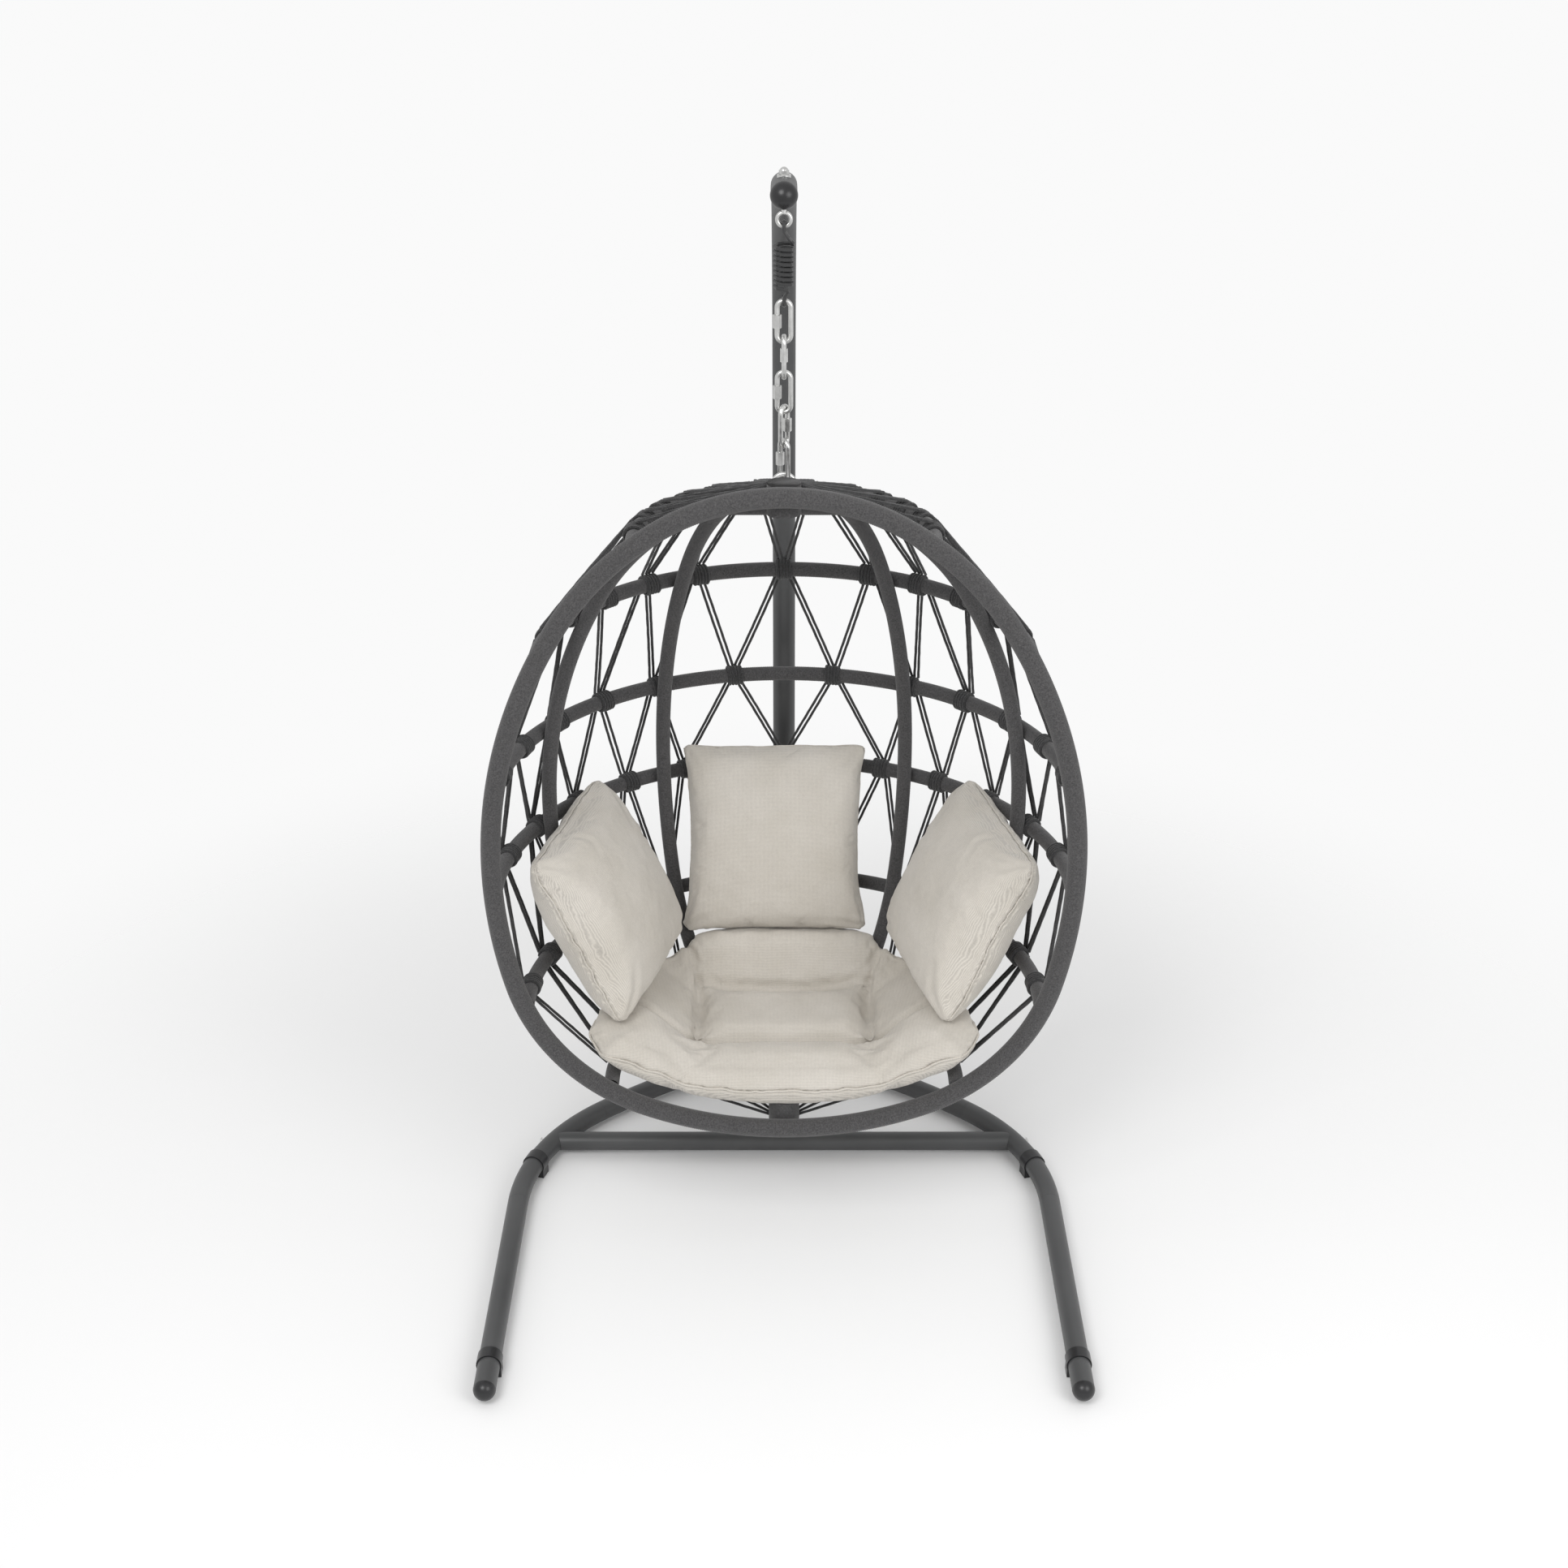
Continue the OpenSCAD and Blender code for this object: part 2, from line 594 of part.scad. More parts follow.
// a hoop: half a circle about the basket's axis, with a short leg forward to each side of the rim
module hoop(k, outer, inner) {
    h = hoop_h[k];
    w = egg_x(h);
    translate([0, 0, wide_z + h]) difference() {
        union() {
            translate([0, axis_y, 0]) arc_tube(w, 0, 180, outer, inner);
            mirror_pair() translate([w, rim_y, 0]) along_y() straight_tube(axis_y - rim_y, outer, inner);
        }
        mirror_pair() translate([w, rim_y, 0]) rotate([0, -egg_normal(h), 0])
            cylinder(r = rim_r + seat_gap, h = 4 * hoop_d, center = true);
    }
}
module hoop_tubes() {
    color(steel) for (k = [0:len(hoop_h) - 1])
        hoop(k, hoop_core_r - seat_gap / 2, hoop_core_r - basket_wall);
}
module hoop_winding(k) { color(rope) hoop(k, hoop_r, hoop_core_r); }

// azimuths are counted from the back of the basket towards +x
module at_azimuth(a) { translate([0, axis_y, 0]) rotate([0, 0, 90 - a]) children(); }
rib_past = 3;            // the outer ribs run this angle past their last hoops
module inner_rib(outer, inner) {
    difference() {
        at_azimuth(rib_azimuths[0]) egg_side(rib_inset, outer, inner);
        translate([0, axis_y, 0]) cylinder(r = hub_ring_r + seat_gap, h = crown_z + 100);
    }
}
module outer_rib(outer, inner) {
    at_azimuth(rib_azimuths[1]) egg_side(rib_inset, outer, inner,
        egg_normal(hoop_h[5]) - rib_past, egg_normal(hoop_h[0]) + rib_past);
}
module rib_tubes() {
    color(steel) mirror_pair() {
        inner_rib(hoop_core_r - seat_gap / 2, hoop_core_r - basket_wall);
        outer_rib(hoop_core_r - seat_gap / 2, hoop_core_r - basket_wall);
    }
}
module rib_winding(which) {
    color(rope) if (which == 0) inner_rib(hoop_r, hoop_core_r); else outer_rib(hoop_r, hoop_core_r);
}

// the space that a rib at one azimuth takes, near a height above the widest level
module rib_clearance(az, h) {
    n = egg_normal(h);
    at_azimuth(az) translate([egg_x(h) - rib_inset * cos(n), 0, wide_z + h - rib_inset * sin(n)])
        rotate([0, -n, 0]) cylinder(r = hoop_r + seat_gap, h = 4 * hoop_d, center = true);
}

// the bar spans the two inner ribs above the middle of the basket and carries the ring
module bar(outer, inner) {
    n = egg_normal(bar_above_wide, rib_inset);
    difference() {
        translate([-bar_half, hang_y, bar_z]) along_x() straight_tube(2 * bar_half, outer, inner);
        mirror_pair() rib_clearance(rib_azimuths[0], bar_above_wide + rib_inset * sin(n));
    }
}
module hanger_bar() { color(steel) bar(hoop_core_r - seat_gap / 2, hoop_core_r - basket_wall); }
module bar_winding() { color(rope) bar(hoop_r, hoop_core_r); }

// a turned hub with rounded edges, standing on z
module hub_at(z, h) {
    r = hub_ring_r - hub_edge;
    color(rope) translate([0, axis_y, z]) rotate_extrude() polygon(concat([[0, 0]],
        [for (a = [-90:30:0]) [r + hub_edge * cos(a), hub_edge + hub_edge * sin(a)]],
        [for (a = [0:30:90]) [r + hub_edge * cos(a), h - hub_edge + hub_edge * sin(a)]],
        [[0, h]]));
}
crown_hub_top = crown_z + 11;
module crown_hub() { hub_at(crown_hub_top - crown_hub_h, crown_hub_h); }
module bottom_hub() { hub_at(floor_z - 12, bottom_hub_h); }

// ================= rope net =================
module cord(p, q) {
    d = q - p;
    translate(p) rotate([0, acos(d[2] / norm(d)), atan2(d[1], d[0])])
        cylinder(d = cord_d, h = norm(d), $fn = 16);
}
// a point beside a hoop: az is the azimuth, out and along are measured square to and along the outline
function beside_hoop(k, az, out, along, side) = let (
    h = hoop_h[k],
    n = egg_normal(h),
    r = egg_x(h) + out * cos(n) - along * sin(n),
    z = wide_z + h + out * sin(n) + along * cos(n))
    [r * sin(az) + side * cos(az), axis_y + r * cos(az) - side * sin(az), z];
// how far along the outline a cord starts, so that its end clears the binding by binding_gap
// lean is the angle between the cord and the outline at that hoop
binding_gap = 0.4;
function start_along(lean, out = knot_out) =
    sqrt(pow(binding_r + binding_gap, 2) - pow(out - cord_d / 2 * cos(lean), 2)) + cord_d / 2 * sin(lean);
// angle between the cords of a band and the outline at the two hoops they join
function band_lean(k) = (egg_normal(hoop_h[k]) - egg_normal(hoop_h[k + 1])) / 2;
// the same for cords that run from a hoop to a hub at a height above the widest level
function hub_lean(k, h) = 90 - abs(egg_normal(hoop_h[k]))
    - atan(abs(h - hoop_h[k]) / (egg_x(hoop_h[k]) - hub_ring_r));

// the turns of cord round a hoop, cut away where a rib passes inside the hoop
module binding(k, az) {
    h = hoop_h[k];
    w = egg_x(h);
    reach = (binding_l / 2 + hoop_r + 2) / w * 180 / PI;
    color(rope) difference() {
        translate([w * sin(az), axis_y + w * cos(az), wide_z + h]) rotate([0, 0, -az]) along_x()
            translate([0, 0, -binding_l / 2]) difference() {
                cylinder(r = binding_r, h = binding_l);
                translate([0, 0, -1]) cylinder(r = hoop_r + 0.5, h = binding_l + 2);
            }
        for (rib = rib_azimuths) if (abs(abs(az) - rib) < reach) rib_clearance(sign(az) * rib, h);
    }
}
// knots with even numbers lie on the hoops with odd numbers, and the other way round
module bindings(k) {
    for (i = [-knots:knots]) if (abs(i) % 2 != k % 2) binding(k, knot_az(i));
}
// band k is the zigzag of paired cords between hoop k and hoop k + 1, with the bindings of hoop k + 1
module net_band(k) {
    start = start_along(band_lean(k));
    wide_in = knot_in + pair_gap;
    color(rope) for (i = [-knots:knots - 1]) {
        falls = abs(i) % 2 != k % 2;
        top_az = knot_az(falls ? i : i + 1);
        low_az = knot_az(falls ? i + 1 : i);
        turn = falls ? 1 : -1;
        for (pair = [0, 1]) cord(
            beside_hoop(k, top_az, knot_out, -start, turn * (pair == 0 ? knot_in : wide_in)),
            beside_hoop(k + 1, low_az, knot_out, start, -turn * (pair == 0 ? wide_in : knot_in)));
    }
    bindings(k + 1);
}
// a point on the side of a hub where a cord of that slope ends
function beside_hub(az, slope, z) = let (r = hub_ring_r + binding_gap + cord_d / 2 * sin(slope))
    [r * sin(az), axis_y + r * cos(az), z];
// the upper cord of each pair lies on the lower one
module crown_cords() {
    top_h = crown_z - wide_z;
    lean = hub_lean(0, top_h);
    slope = 90 - egg_normal(hoop_h[0]) - lean;
    stack = cord_d + 1;
    color(rope) for (i = [-knots:2:knots]) for (pair = [0, 1]) let (out = knot_out + pair * stack) cord(
        beside_hoop(0, knot_az(i), out, start_along(lean, out), knot_in * (2 * pair - 1)),
        beside_hub(knot_az(i), slope, crown_z - 3 + pair * stack));
    bindings(0);
}
module floor_cords() {
    lean = hub_lean(5, floor_z - wide_z);
    slope = 90 + egg_normal(hoop_h[5]) - lean;
    color(rope) for (i = [-knots + 1:2:knots - 1]) cord(
        beside_hoop(5, knot_az(i), knot_out, -start_along(lean), 0),
        beside_hub(knot_az(i), slope, floor_z - 4));
}

// ================= cushions =================
// joins a grid of top points and a grid of bottom points along their shared edge
function grid_id(i, j, n, low) = (low && i > 0 && i < n && j > 0 && j < n)
    ? (n + 1) * (n + 1) + (i - 1) * (n - 1) + j - 1 : i * (n + 1) + j;
pillow_n = 14;
side_ear = 0.09;         // how much a pillow's sides draw in between the corners
end_ear = 0.04;          // the same for its ends
function pillow_point(i, j, side, w, l, thick) = let (
    s = sin(90 * (2 * i / pillow_n - 1)),
    t = sin(90 * (2 * j / pillow_n - 1)),
    crown = pow((1 - s * s) * (1 - t * t), 0.42))
    [s * w / 2 * (1 - side_ear * (1 - t * t)), t * l / 2 * (1 - end_ear * (1 - s * s)),
     side * thick / 2 * crown];
module pillow(w, l, thick) {
    n = pillow_n;
    top = [for (i = [0:n]) for (j = [0:n]) pillow_point(i, j, 1, w, l, thick)];
    low = [for (i = [1:n - 1]) for (j = [1:n - 1]) pillow_point(i, j, -1, w, l, thick)];
    faces = [for (i = [0:n - 1]) for (j = [0:n - 1]) for (side = [false, true]) let (
        a = grid_id(i, j, n, side), b = grid_id(i + 1, j, n, side),
        c = grid_id(i + 1, j + 1, n, side), d = grid_id(i, j + 1, n, side),
        both = (i < n / 2) == (j < n / 2) ? [[a, c, b], [a, d, c]] : [[a, d, b], [b, d, c]])
        each side ? [for (f = both) [f[0], f[2], f[1]]] : both];
    polyhedron(concat(top, low), faces);
}
module back_pillow() {
    color(linen) translate([-18, hang_y + 197.2, 628.7]) rotate([71, 0, 0])
        pillow(pillow_w, pillow_l, pillow_t);
}
module side_pillow() {
    translate([310.9, hang_y - 20.4, 617.1]) rotate([0, 0, 17.5]) rotate([0, -65.2, 0])
        rotate([0, 0, 85.8]) pillow(side_pillow_w, side_pillow_l, side_pillow_t);
}
module pillow_left() { color(linen) mirror([1, 0, 0]) side_pillow(); }
module pillow_right() { color(linen) side_pillow(); }

seat_rings = 12;
seat_spokes = 44;
function smooth(t) = let (u = min(max(t, 0), 1)) u * u * (3 - 2 * u);
function near(d, w) = exp(-d * d / (2 * w * w));
function dist_to_span(v, half) = max(abs(v) - half, 0);
// the seat's plan: a half circle about the basket's axis, with straight sides and a straight front
function seat_edge(a) = let (
    dy = seat_centre_y - axis_y,
    back_r = -dy * sin(a) + sqrt(seat_r * seat_r - pow(dy * cos(a), 2)),
    round_r = back_r * sin(a) < -dy ? seat_r / abs(cos(a)) : back_r,
    front_r = sin(a) < -0.05 ? (seat_front_y - seat_centre_y) / sin(a) : 9999)
    pow(pow(round_r, -12) + pow(front_r, -12), -1 / 12);
function seat_axis_r(x, y) = norm([x, max(y - axis_y, 0)]);
// height of the quilted top: pad, raised bolsters, and the channels and tufts between them
function seat_height(x, y) = let (
    back = smooth((y - tuft_back_y) / 70),
    side = smooth((abs(x) - tuft_x) / 130),
    gap_x = near(abs(x) - tuft_x, 13) * near(dist_to_span(y - (tuft_front_y + tuft_back_y) / 2, 92), 30),
    gap_back = near(y - tuft_back_y, 13) * near(dist_to_span(x, tuft_x), 30),
    gap_front = near(y - tuft_front_y, 13) * near(dist_to_span(x, tuft_x), 30),
    tufts = near(norm([abs(x) - tuft_x, y - tuft_front_y]), 20)
        + near(norm([abs(x) - tuft_x, y - tuft_back_y]), 20))
    seat_top + 75 * back + 66 * side * (1 - back) - 20 * max(gap_x, gap_back, gap_front) - 12 * tufts;
function seat_point(i, k, up) = let (
    a = 360 * i / seat_spokes,
    f = k / seat_rings,
    edge = seat_edge(a),
    x = f * edge * cos(a),
    y = seat_centre_y + f * edge * sin(a),
    rim_x = edge * cos(a),
    rim_yy = seat_centre_y + edge * sin(a),
    low_edge = bowl(seat_axis_r(rim_x, rim_yy)),
    mid = low_edge + 0.42 * max(seat_height(rim_x, rim_yy) - low_edge, 24),
    round_top = sqrt(1 - pow(f, 7)),
    round_low = sqrt(1 - pow(f, 10)))
    [x, y, up ? mid + (max(seat_height(x, y), bowl(seat_axis_r(x, y)) + 20) - mid) * round_top
        : mid + (bowl(seat_axis_r(x, y)) - mid) * round_low];
function seat_id(i, k, up) = k == 0 ? (up ? 0 : 1)
    : k == seat_rings || up ? 2 + (k - 1) * seat_spokes + i % seat_spokes
    : 2 + seat_rings * seat_spokes + (k - 1) * seat_spokes + i % seat_spokes;
module seat_cushion() {
    points = concat([seat_point(0, 0, true), seat_point(0, 0, false)],
        [for (k = [1:seat_rings]) for (i = [0:seat_spokes - 1]) seat_point(i, k, true)],
        [for (k = [1:seat_rings - 1]) for (i = [0:seat_spokes - 1]) seat_point(i, k, false)]);
    faces = [for (i = [0:seat_spokes - 1]) for (k = [0:seat_rings - 1]) for (up = [true, false]) let (
        a = seat_id(i, k, up), b = seat_id(i + 1, k, up),
        c = seat_id(i + 1, k + 1, up), d = seat_id(i, k + 1, up),
        left = i >= seat_spokes / 4 && i < 3 * seat_spokes / 4,
        pair = k == 0 ? [[a, c, d]] : left ? [[a, b, d], [b, c, d]] : [[a, b, c], [a, c, d]])
        each up ? pair : [for (f = pair) [f[0], f[2], f[1]]]];
    color(linen) polyhedron(points, faces);
}

// ================= assembly =================
mirror([1, 0, 0]) side_tube();  // side_tube_left
side_tube();  // side_tube_right
crossbar();
base_hub();
pole_lower();
pole_upper();
pole_end_cap();
leg_end_caps();
foot_clips();
hub_foot();
frame_bolts();
frame_nuts();
eye_bolt();
acorn_nut();
jam_nut();
saddle_washers();
spring();
link(0);  // link_1
link(1);  // link_2
link(2);  // link_3
link(3);  // link_4
link(4);  // link_5
link_sleeve(0);  // link_sleeve_1
link_sleeve(1);  // link_sleeve_2
link_sleeve(2);  // link_sleeve_3
link_sleeve(3);  // link_sleeve_4
link_sleeve(4);  // link_sleeve_5
hang_ring();
rim_tube();
hoop_tubes();
rib_tubes();
hanger_bar();
crown_hub();
bottom_hub();
rim_winding();
hoop_winding(0);  // hoop_winding_0
hoop_winding(1);  // hoop_winding_1
hoop_winding(2);  // hoop_winding_2
hoop_winding(3);  // hoop_winding_3
hoop_winding(4);  // hoop_winding_4
hoop_winding(5);  // hoop_winding_5
mirror([1, 0, 0]) rib_winding(0);  // rib_winding_inner_left
rib_winding(0);  // rib_winding_inner_right
mirror([1, 0, 0]) rib_winding(1);  // rib_winding_outer_left
rib_winding(1);  // rib_winding_outer_right
bar_winding();
crown_cords();
net_band(0);  // net_band_0
net_band(1);  // net_band_1
net_band(2);  // net_band_2
net_band(3);  // net_band_3
net_band(4);  // net_band_4
floor_cords();
seat_cushion();
back_pillow();
pillow_left();
pillow_right();
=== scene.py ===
import json
import math

import bmesh
import bpy
import numpy as np
from mathutils import Matrix, Vector, noise
from mathutils.bvhtree import BVHTree

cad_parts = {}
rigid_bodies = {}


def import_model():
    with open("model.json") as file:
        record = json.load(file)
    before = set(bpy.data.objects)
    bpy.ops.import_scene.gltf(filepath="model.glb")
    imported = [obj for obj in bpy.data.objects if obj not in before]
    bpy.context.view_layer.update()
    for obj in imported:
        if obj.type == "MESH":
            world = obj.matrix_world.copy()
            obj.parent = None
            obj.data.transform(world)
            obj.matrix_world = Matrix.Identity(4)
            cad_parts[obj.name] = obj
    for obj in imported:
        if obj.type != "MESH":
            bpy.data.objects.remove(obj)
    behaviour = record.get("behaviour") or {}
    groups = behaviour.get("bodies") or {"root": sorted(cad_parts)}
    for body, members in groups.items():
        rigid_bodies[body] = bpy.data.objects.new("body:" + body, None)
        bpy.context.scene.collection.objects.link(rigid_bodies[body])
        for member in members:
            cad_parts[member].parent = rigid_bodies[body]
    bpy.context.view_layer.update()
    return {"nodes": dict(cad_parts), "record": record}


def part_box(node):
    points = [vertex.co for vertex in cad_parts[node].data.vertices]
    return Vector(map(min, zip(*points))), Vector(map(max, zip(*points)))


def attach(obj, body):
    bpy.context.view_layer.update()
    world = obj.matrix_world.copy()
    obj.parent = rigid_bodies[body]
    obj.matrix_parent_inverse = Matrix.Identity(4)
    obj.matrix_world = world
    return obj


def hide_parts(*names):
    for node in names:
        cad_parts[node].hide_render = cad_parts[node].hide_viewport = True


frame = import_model()
NODES = frame["nodes"]

# ---------------------------------------------------------------- camera
camera = bpy.data.objects.new("camera", bpy.data.cameras.new("camera"))
bpy.context.scene.collection.objects.link(camera)
camera.data.lens = 49.99
camera.data.sensor_width = 36.0
camera.data.clip_end = 60.0
camera.location = (0.0, -3.3353, 2.514)
camera.rotation_euler = (math.radians(90 - 25.95), 0.0, 0.0)
bpy.context.scene.camera = camera

# ---------------------------------------------------------------- the frame's dimensions, in metres
HANG_Y = 0.113
RIM_R, HOOP_R, CORD_R = 0.017, 0.0135, 0.00275
RIM_Y = HANG_Y - 0.222
AXIS_Y = RIM_Y + RIM_R + 0.0275 + 0.0003
HALF = 0.492


def outline(r1, a1, r2, a2):
    """Three tangent arcs of the egg outline: centre x, centre height, radius, first and last angle."""
    a1, a2 = math.radians(a1), math.radians(a2)
    c1 = HALF - r1
    cx, cz = c1 + (r1 - r2) * math.cos(a1), (r1 - r2) * math.sin(a1)
    r3 = r2 + cx / math.cos(a2)
    return [(c1, 0.0, r1, 0.0, a1), (cx, cz, r2, a1, a2), (0.0, cz + (r2 - r3) * math.sin(a2), r3, a2, math.pi / 2)]


UPPER = outline(0.822, 32.4, 0.508, 58.9)
LOWER = outline(0.888, 14.5, 0.366, 68.0)
CROWN_H = UPPER[2][1] + UPPER[2][2]
FLOOR_H = LOWER[2][1] + LOWER[2][2]
WIDE_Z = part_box("rim_winding")[1].z - RIM_R - CROWN_H
HOOP_H = (0.576, 0.376, 0.140, -0.045, -0.270, -0.439)
RIB_INSET = 0.0273
KNOTS, MIDDLE_STEP, SIDE_STEP = 11, 11.0, 7.0


def knot_az(i):
    """Azimuth of the net's knot number i, counted from the middle of the back."""
    return math.copysign(min(abs(i), 2) * MIDDLE_STEP + max(abs(i) - 2, 0) * SIDE_STEP, i)


RIB_AZ = (knot_az(3), knot_az(8))


def egg(h, inset=0.0):
    """Horizontal radius and normal angle of the outline at a height above its widest level."""
    arcs, s = (UPPER, 1) if h >= 0 else (LOWER, -1)
    for cx, cz, r, _, a1 in arcs:
        if abs(h) <= cz + (r - inset) * math.sin(a1) + 1e-9:
            n = math.asin((abs(h) - cz) / (r - inset))
            return cx + (r - inset) * math.cos(n), s * n
    return 0.0, s * math.pi / 2


def meridian(inset, lo=-math.pi / 2, hi=math.pi / 2, step=0.002):
    """Points (x, z) with outward normals along one side of the outline, between two normal angles."""
    out = []
    for arcs, s in ((LOWER, -1), (UPPER, 1)):
        for cx, cz, r, a0, a1 in (reversed(arcs) if s < 0 else arcs):
            b0, b1 = (-a1, -a0) if s < 0 else (a0, a1)
            b0, b1 = max(b0, lo), min(b1, hi)
            if b1 <= b0:
                continue
            n = max(2, int((b1 - b0) * (r - inset) / step))
            for k in range(n + (1 if b1 >= hi - 1e-9 else 0)):
                a = b0 + (b1 - b0) * k / n
                out.append((cx + (r - inset) * math.cos(a), WIDE_Z + s * cz + (r - inset) * math.sin(a),
                            math.cos(a), math.sin(a)))
    return out


def at_azimuth(az, x, z):
    a = math.radians(az)
    return Vector((x * math.sin(a), AXIS_Y + x * math.cos(a), z))


# ---------------------------------------------------------------- materials
def material(name, base, rough, metallic=0.0, sheen=0.0):
    m = bpy.data.materials.new(name)
    m.use_nodes = True
    b = m.node_tree.nodes["Principled BSDF"]
    b.inputs["Base Color"].default_value = (*base, 1)
    b.inputs["Roughness"].default_value = rough
    b.inputs["Metallic"].default_value = metallic
    if sheen:
        b.inputs["Sheen Weight"].default_value = sheen
        b.inputs["Sheen Roughness"].default_value = 0.5
    return m, m.node_tree, b


def node(tree, kind, **props):
    n = tree.nodes.new(kind)
    for k, v in props.items():
        if k in n.inputs:
            n.inputs[k].default_value = v
        else:
            setattr(n, k, v)
    return n


def varied_colour(tree, bsdf, source, scale, low, high, detail=4.0):
    """Drives the base colour between two colours by noise."""
    tex = node(tree, "ShaderNodeTexNoise", Scale=scale, Detail=detail)
    ramp = node(tree, "ShaderNodeValToRGB")
    ramp.color_ramp.elements[0].position, ramp.color_ramp.elements[1].position = 0.3, 0.7
    ramp.color_ramp.elements[0].color = (*low, 1)
    ramp.color_ramp.elements[1].color = (*high, 1)
    tree.links.new(source, tex.inputs["Vector"])
    tree.links.new(tex.outputs["Fac"], ramp.inputs["Fac"])
    tree.links.new(ramp.outputs["Color"], bsdf.inputs["Base Color"])
    return tex, ramp


def bump(tree, bsdf, height, distance, strength=1.0, into=None):
    b = node(tree, "ShaderNodeBump", Strength=strength, Distance=distance)
    tree.links.new(height, b.inputs["Height"])
    if into is not None:
        tree.links.new(into.outputs["Normal"], b.inputs["Normal"])
    tree.links.new(b.outputs["Normal"], bsdf.inputs["Normal"])
    return b


def varied_roughness(tree, bsdf, tex, low, high):
    r = node(tree, "ShaderNodeMapRange")
    r.inputs["To Min"].default_value, r.inputs["To Max"].default_value = low, high
    tree.links.new(tex.outputs["Fac"], r.inputs["Value"])
    tree.links.new(r.outputs["Result"], bsdf.inputs["Roughness"])


def object_space(tree):
    return node(tree, "ShaderNodeTexCoord").outputs["Object"]


def powder_coat(name, low, high, rough):
    m, t, b = material(name, low, rough)
    at = object_space(t)
    tex, _ = varied_colour(t, b, at, 6.0, low, high)
    grain = node(t, "ShaderNodeTexNoise", Scale=900.0, Detail=2.0)
    t.links.new(at, grain.inputs["Vector"])
    bump(t, b, grain.outputs["Fac"], 0.00012, 0.6)
    varied_roughness(t, b, tex, rough - 0.05, rough + 0.07)
    return m


def moulded(name, base, rough):
    m, t, b = material(name, base, rough)
    at = object_space(t)
    tex, _ = varied_colour(t, b, at, 40.0, base, tuple(c * 1.5 for c in base))
    grain = node(t, "ShaderNodeTexNoise", Scale=1400.0, Detail=1.0)
    t.links.new(at, grain.inputs["Vector"])
    bump(t, b, grain.outputs["Fac"], 0.00006, 0.5)
    varied_roughness(t, b, tex, rough - 0.04, rough + 0.08)
    return m


def plated(name, low, high, rough):
    m, t, b = material(name, low, rough, metallic=1.0)
    at = object_space(t)
    tex, _ = varied_colour(t, b, at, 90.0, low, high)
    grain = node(t, "ShaderNodeTexNoise", Scale=700.0, Detail=5.0)
    t.links.new(at, grain.inputs["Vector"])
    bump(t, b, grain.outputs["Fac"], 0.00008, 0.5)
    varied_roughness(t, b, tex, rough - 0.08, rough + 0.12)
    return m


def fibre(name, low, high, fuzz):
    """Soft spun rope: mottled colour, a fine fibre bump and a dull sheen."""
    m, t, b = material(name, low, 0.92, sheen=0.25)
    at = object_space(t)
    varied_colour(t, b, at, 420.0, low, high, detail=3.0)
    fine = node(t, "ShaderNodeTexNoise", Scale=1500.0, Detail=3.0)
    t.links.new(at, fine.inputs["Vector"])
    bump(t, b, fine.outputs["Fac"], fuzz)
    b.inputs["Specular IOR Level"].default_value = 0.2
    return m


def linen(name, low, high):
    """A plain weave read from the mesh's own flat coordinates, with slubs and slight staining."""
    m, t, b = material(name, low, 0.93, sheen=0.3)
    uv = node(t, "ShaderNodeAttribute", attribute_name="weave").outputs["Vector"]
    at = object_space(t)
    _, ramp = varied_colour(t, b, at, 9.0, low, high)
    warp = node(t, "ShaderNodeTexWave", Scale=0.17, Distortion=1.2, Detail=1.0)
    warp.inputs["Detail Scale"].default_value = 2.0
    warp.bands_direction = "X"
    weft = node(t, "ShaderNodeTexWave", Scale=0.17, Distortion=1.2, Detail=1.0)
    weft.inputs["Detail Scale"].default_value = 2.0
    weft.bands_direction = "Y"
    t.links.new(uv, warp.inputs["Vector"])
    t.links.new(uv, weft.inputs["Vector"])
    both = node(t, "ShaderNodeMath", operation="MAXIMUM")
    t.links.new(warp.outputs["Fac"], both.inputs[0])
    t.links.new(weft.outputs["Fac"], both.inputs[1])
    slub = node(t, "ShaderNodeTexNoise", Scale=260.0, Detail=3.0)
    t.links.new(at, slub.inputs["Vector"])
    dark = node(t, "ShaderNodeMixRGB", blend_type="MULTIPLY", Fac=0.26)
    shade = node(t, "ShaderNodeMapRange")
    shade.inputs["To Min"].default_value, shade.inputs["To Max"].default_value = 0.55, 1.15
    t.links.new(slub.outputs["Fac"], shade.inputs["Value"])
    t.links.new(ramp.outputs["Color"], dark.inputs["Color1"])
    t.links.new(shade.outputs["Result"], dark.inputs["Color2"])
    weave_dark = node(t, "ShaderNodeMixRGB", blend_type="MULTIPLY", Fac=0.34)
    t.links.new(dark.outputs["Color"], weave_dark.inputs["Color1"])
    t.links.new(both.outputs["Value"], weave_dark.inputs["Color2"])
    t.links.new(weave_dark.outputs["Color"], b.inputs["Base Color"])
    first = bump(t, b, slub.outputs["Fac"], 0.0004, 0.6)
    bump(t, b, both.outputs["Value"], 0.00045, 0.8, into=first)
    b.inputs["Specular IOR Level"].default_value = 0.15
    return m


COAT = powder_coat("powder_coat", (0.052, 0.053, 0.054), (0.075, 0.076, 0.077), 0.42)
PLASTIC = moulded("black_plastic", (0.012, 0.012, 0.013), 0.3)
ZINC = plated("zinc_plate", (0.58, 0.58, 0.57), (0.74, 0.74, 0.73), 0.3)
SPRING = powder_coat("spring_coat", (0.028, 0.028, 0.029), (0.045, 0.045, 0.046), 0.36)
ROPE = fibre("wound_rope", (0.048, 0.047, 0.048), (0.104, 0.101, 0.102), 0.0006)
CORD = fibre("net_cord", (0.024, 0.024, 0.025), (0.066, 0.065, 0.066), 0.0006)
LINEN = linen("linen", (0.62, 0.58, 0.515), (0.70, 0.66, 0.60))

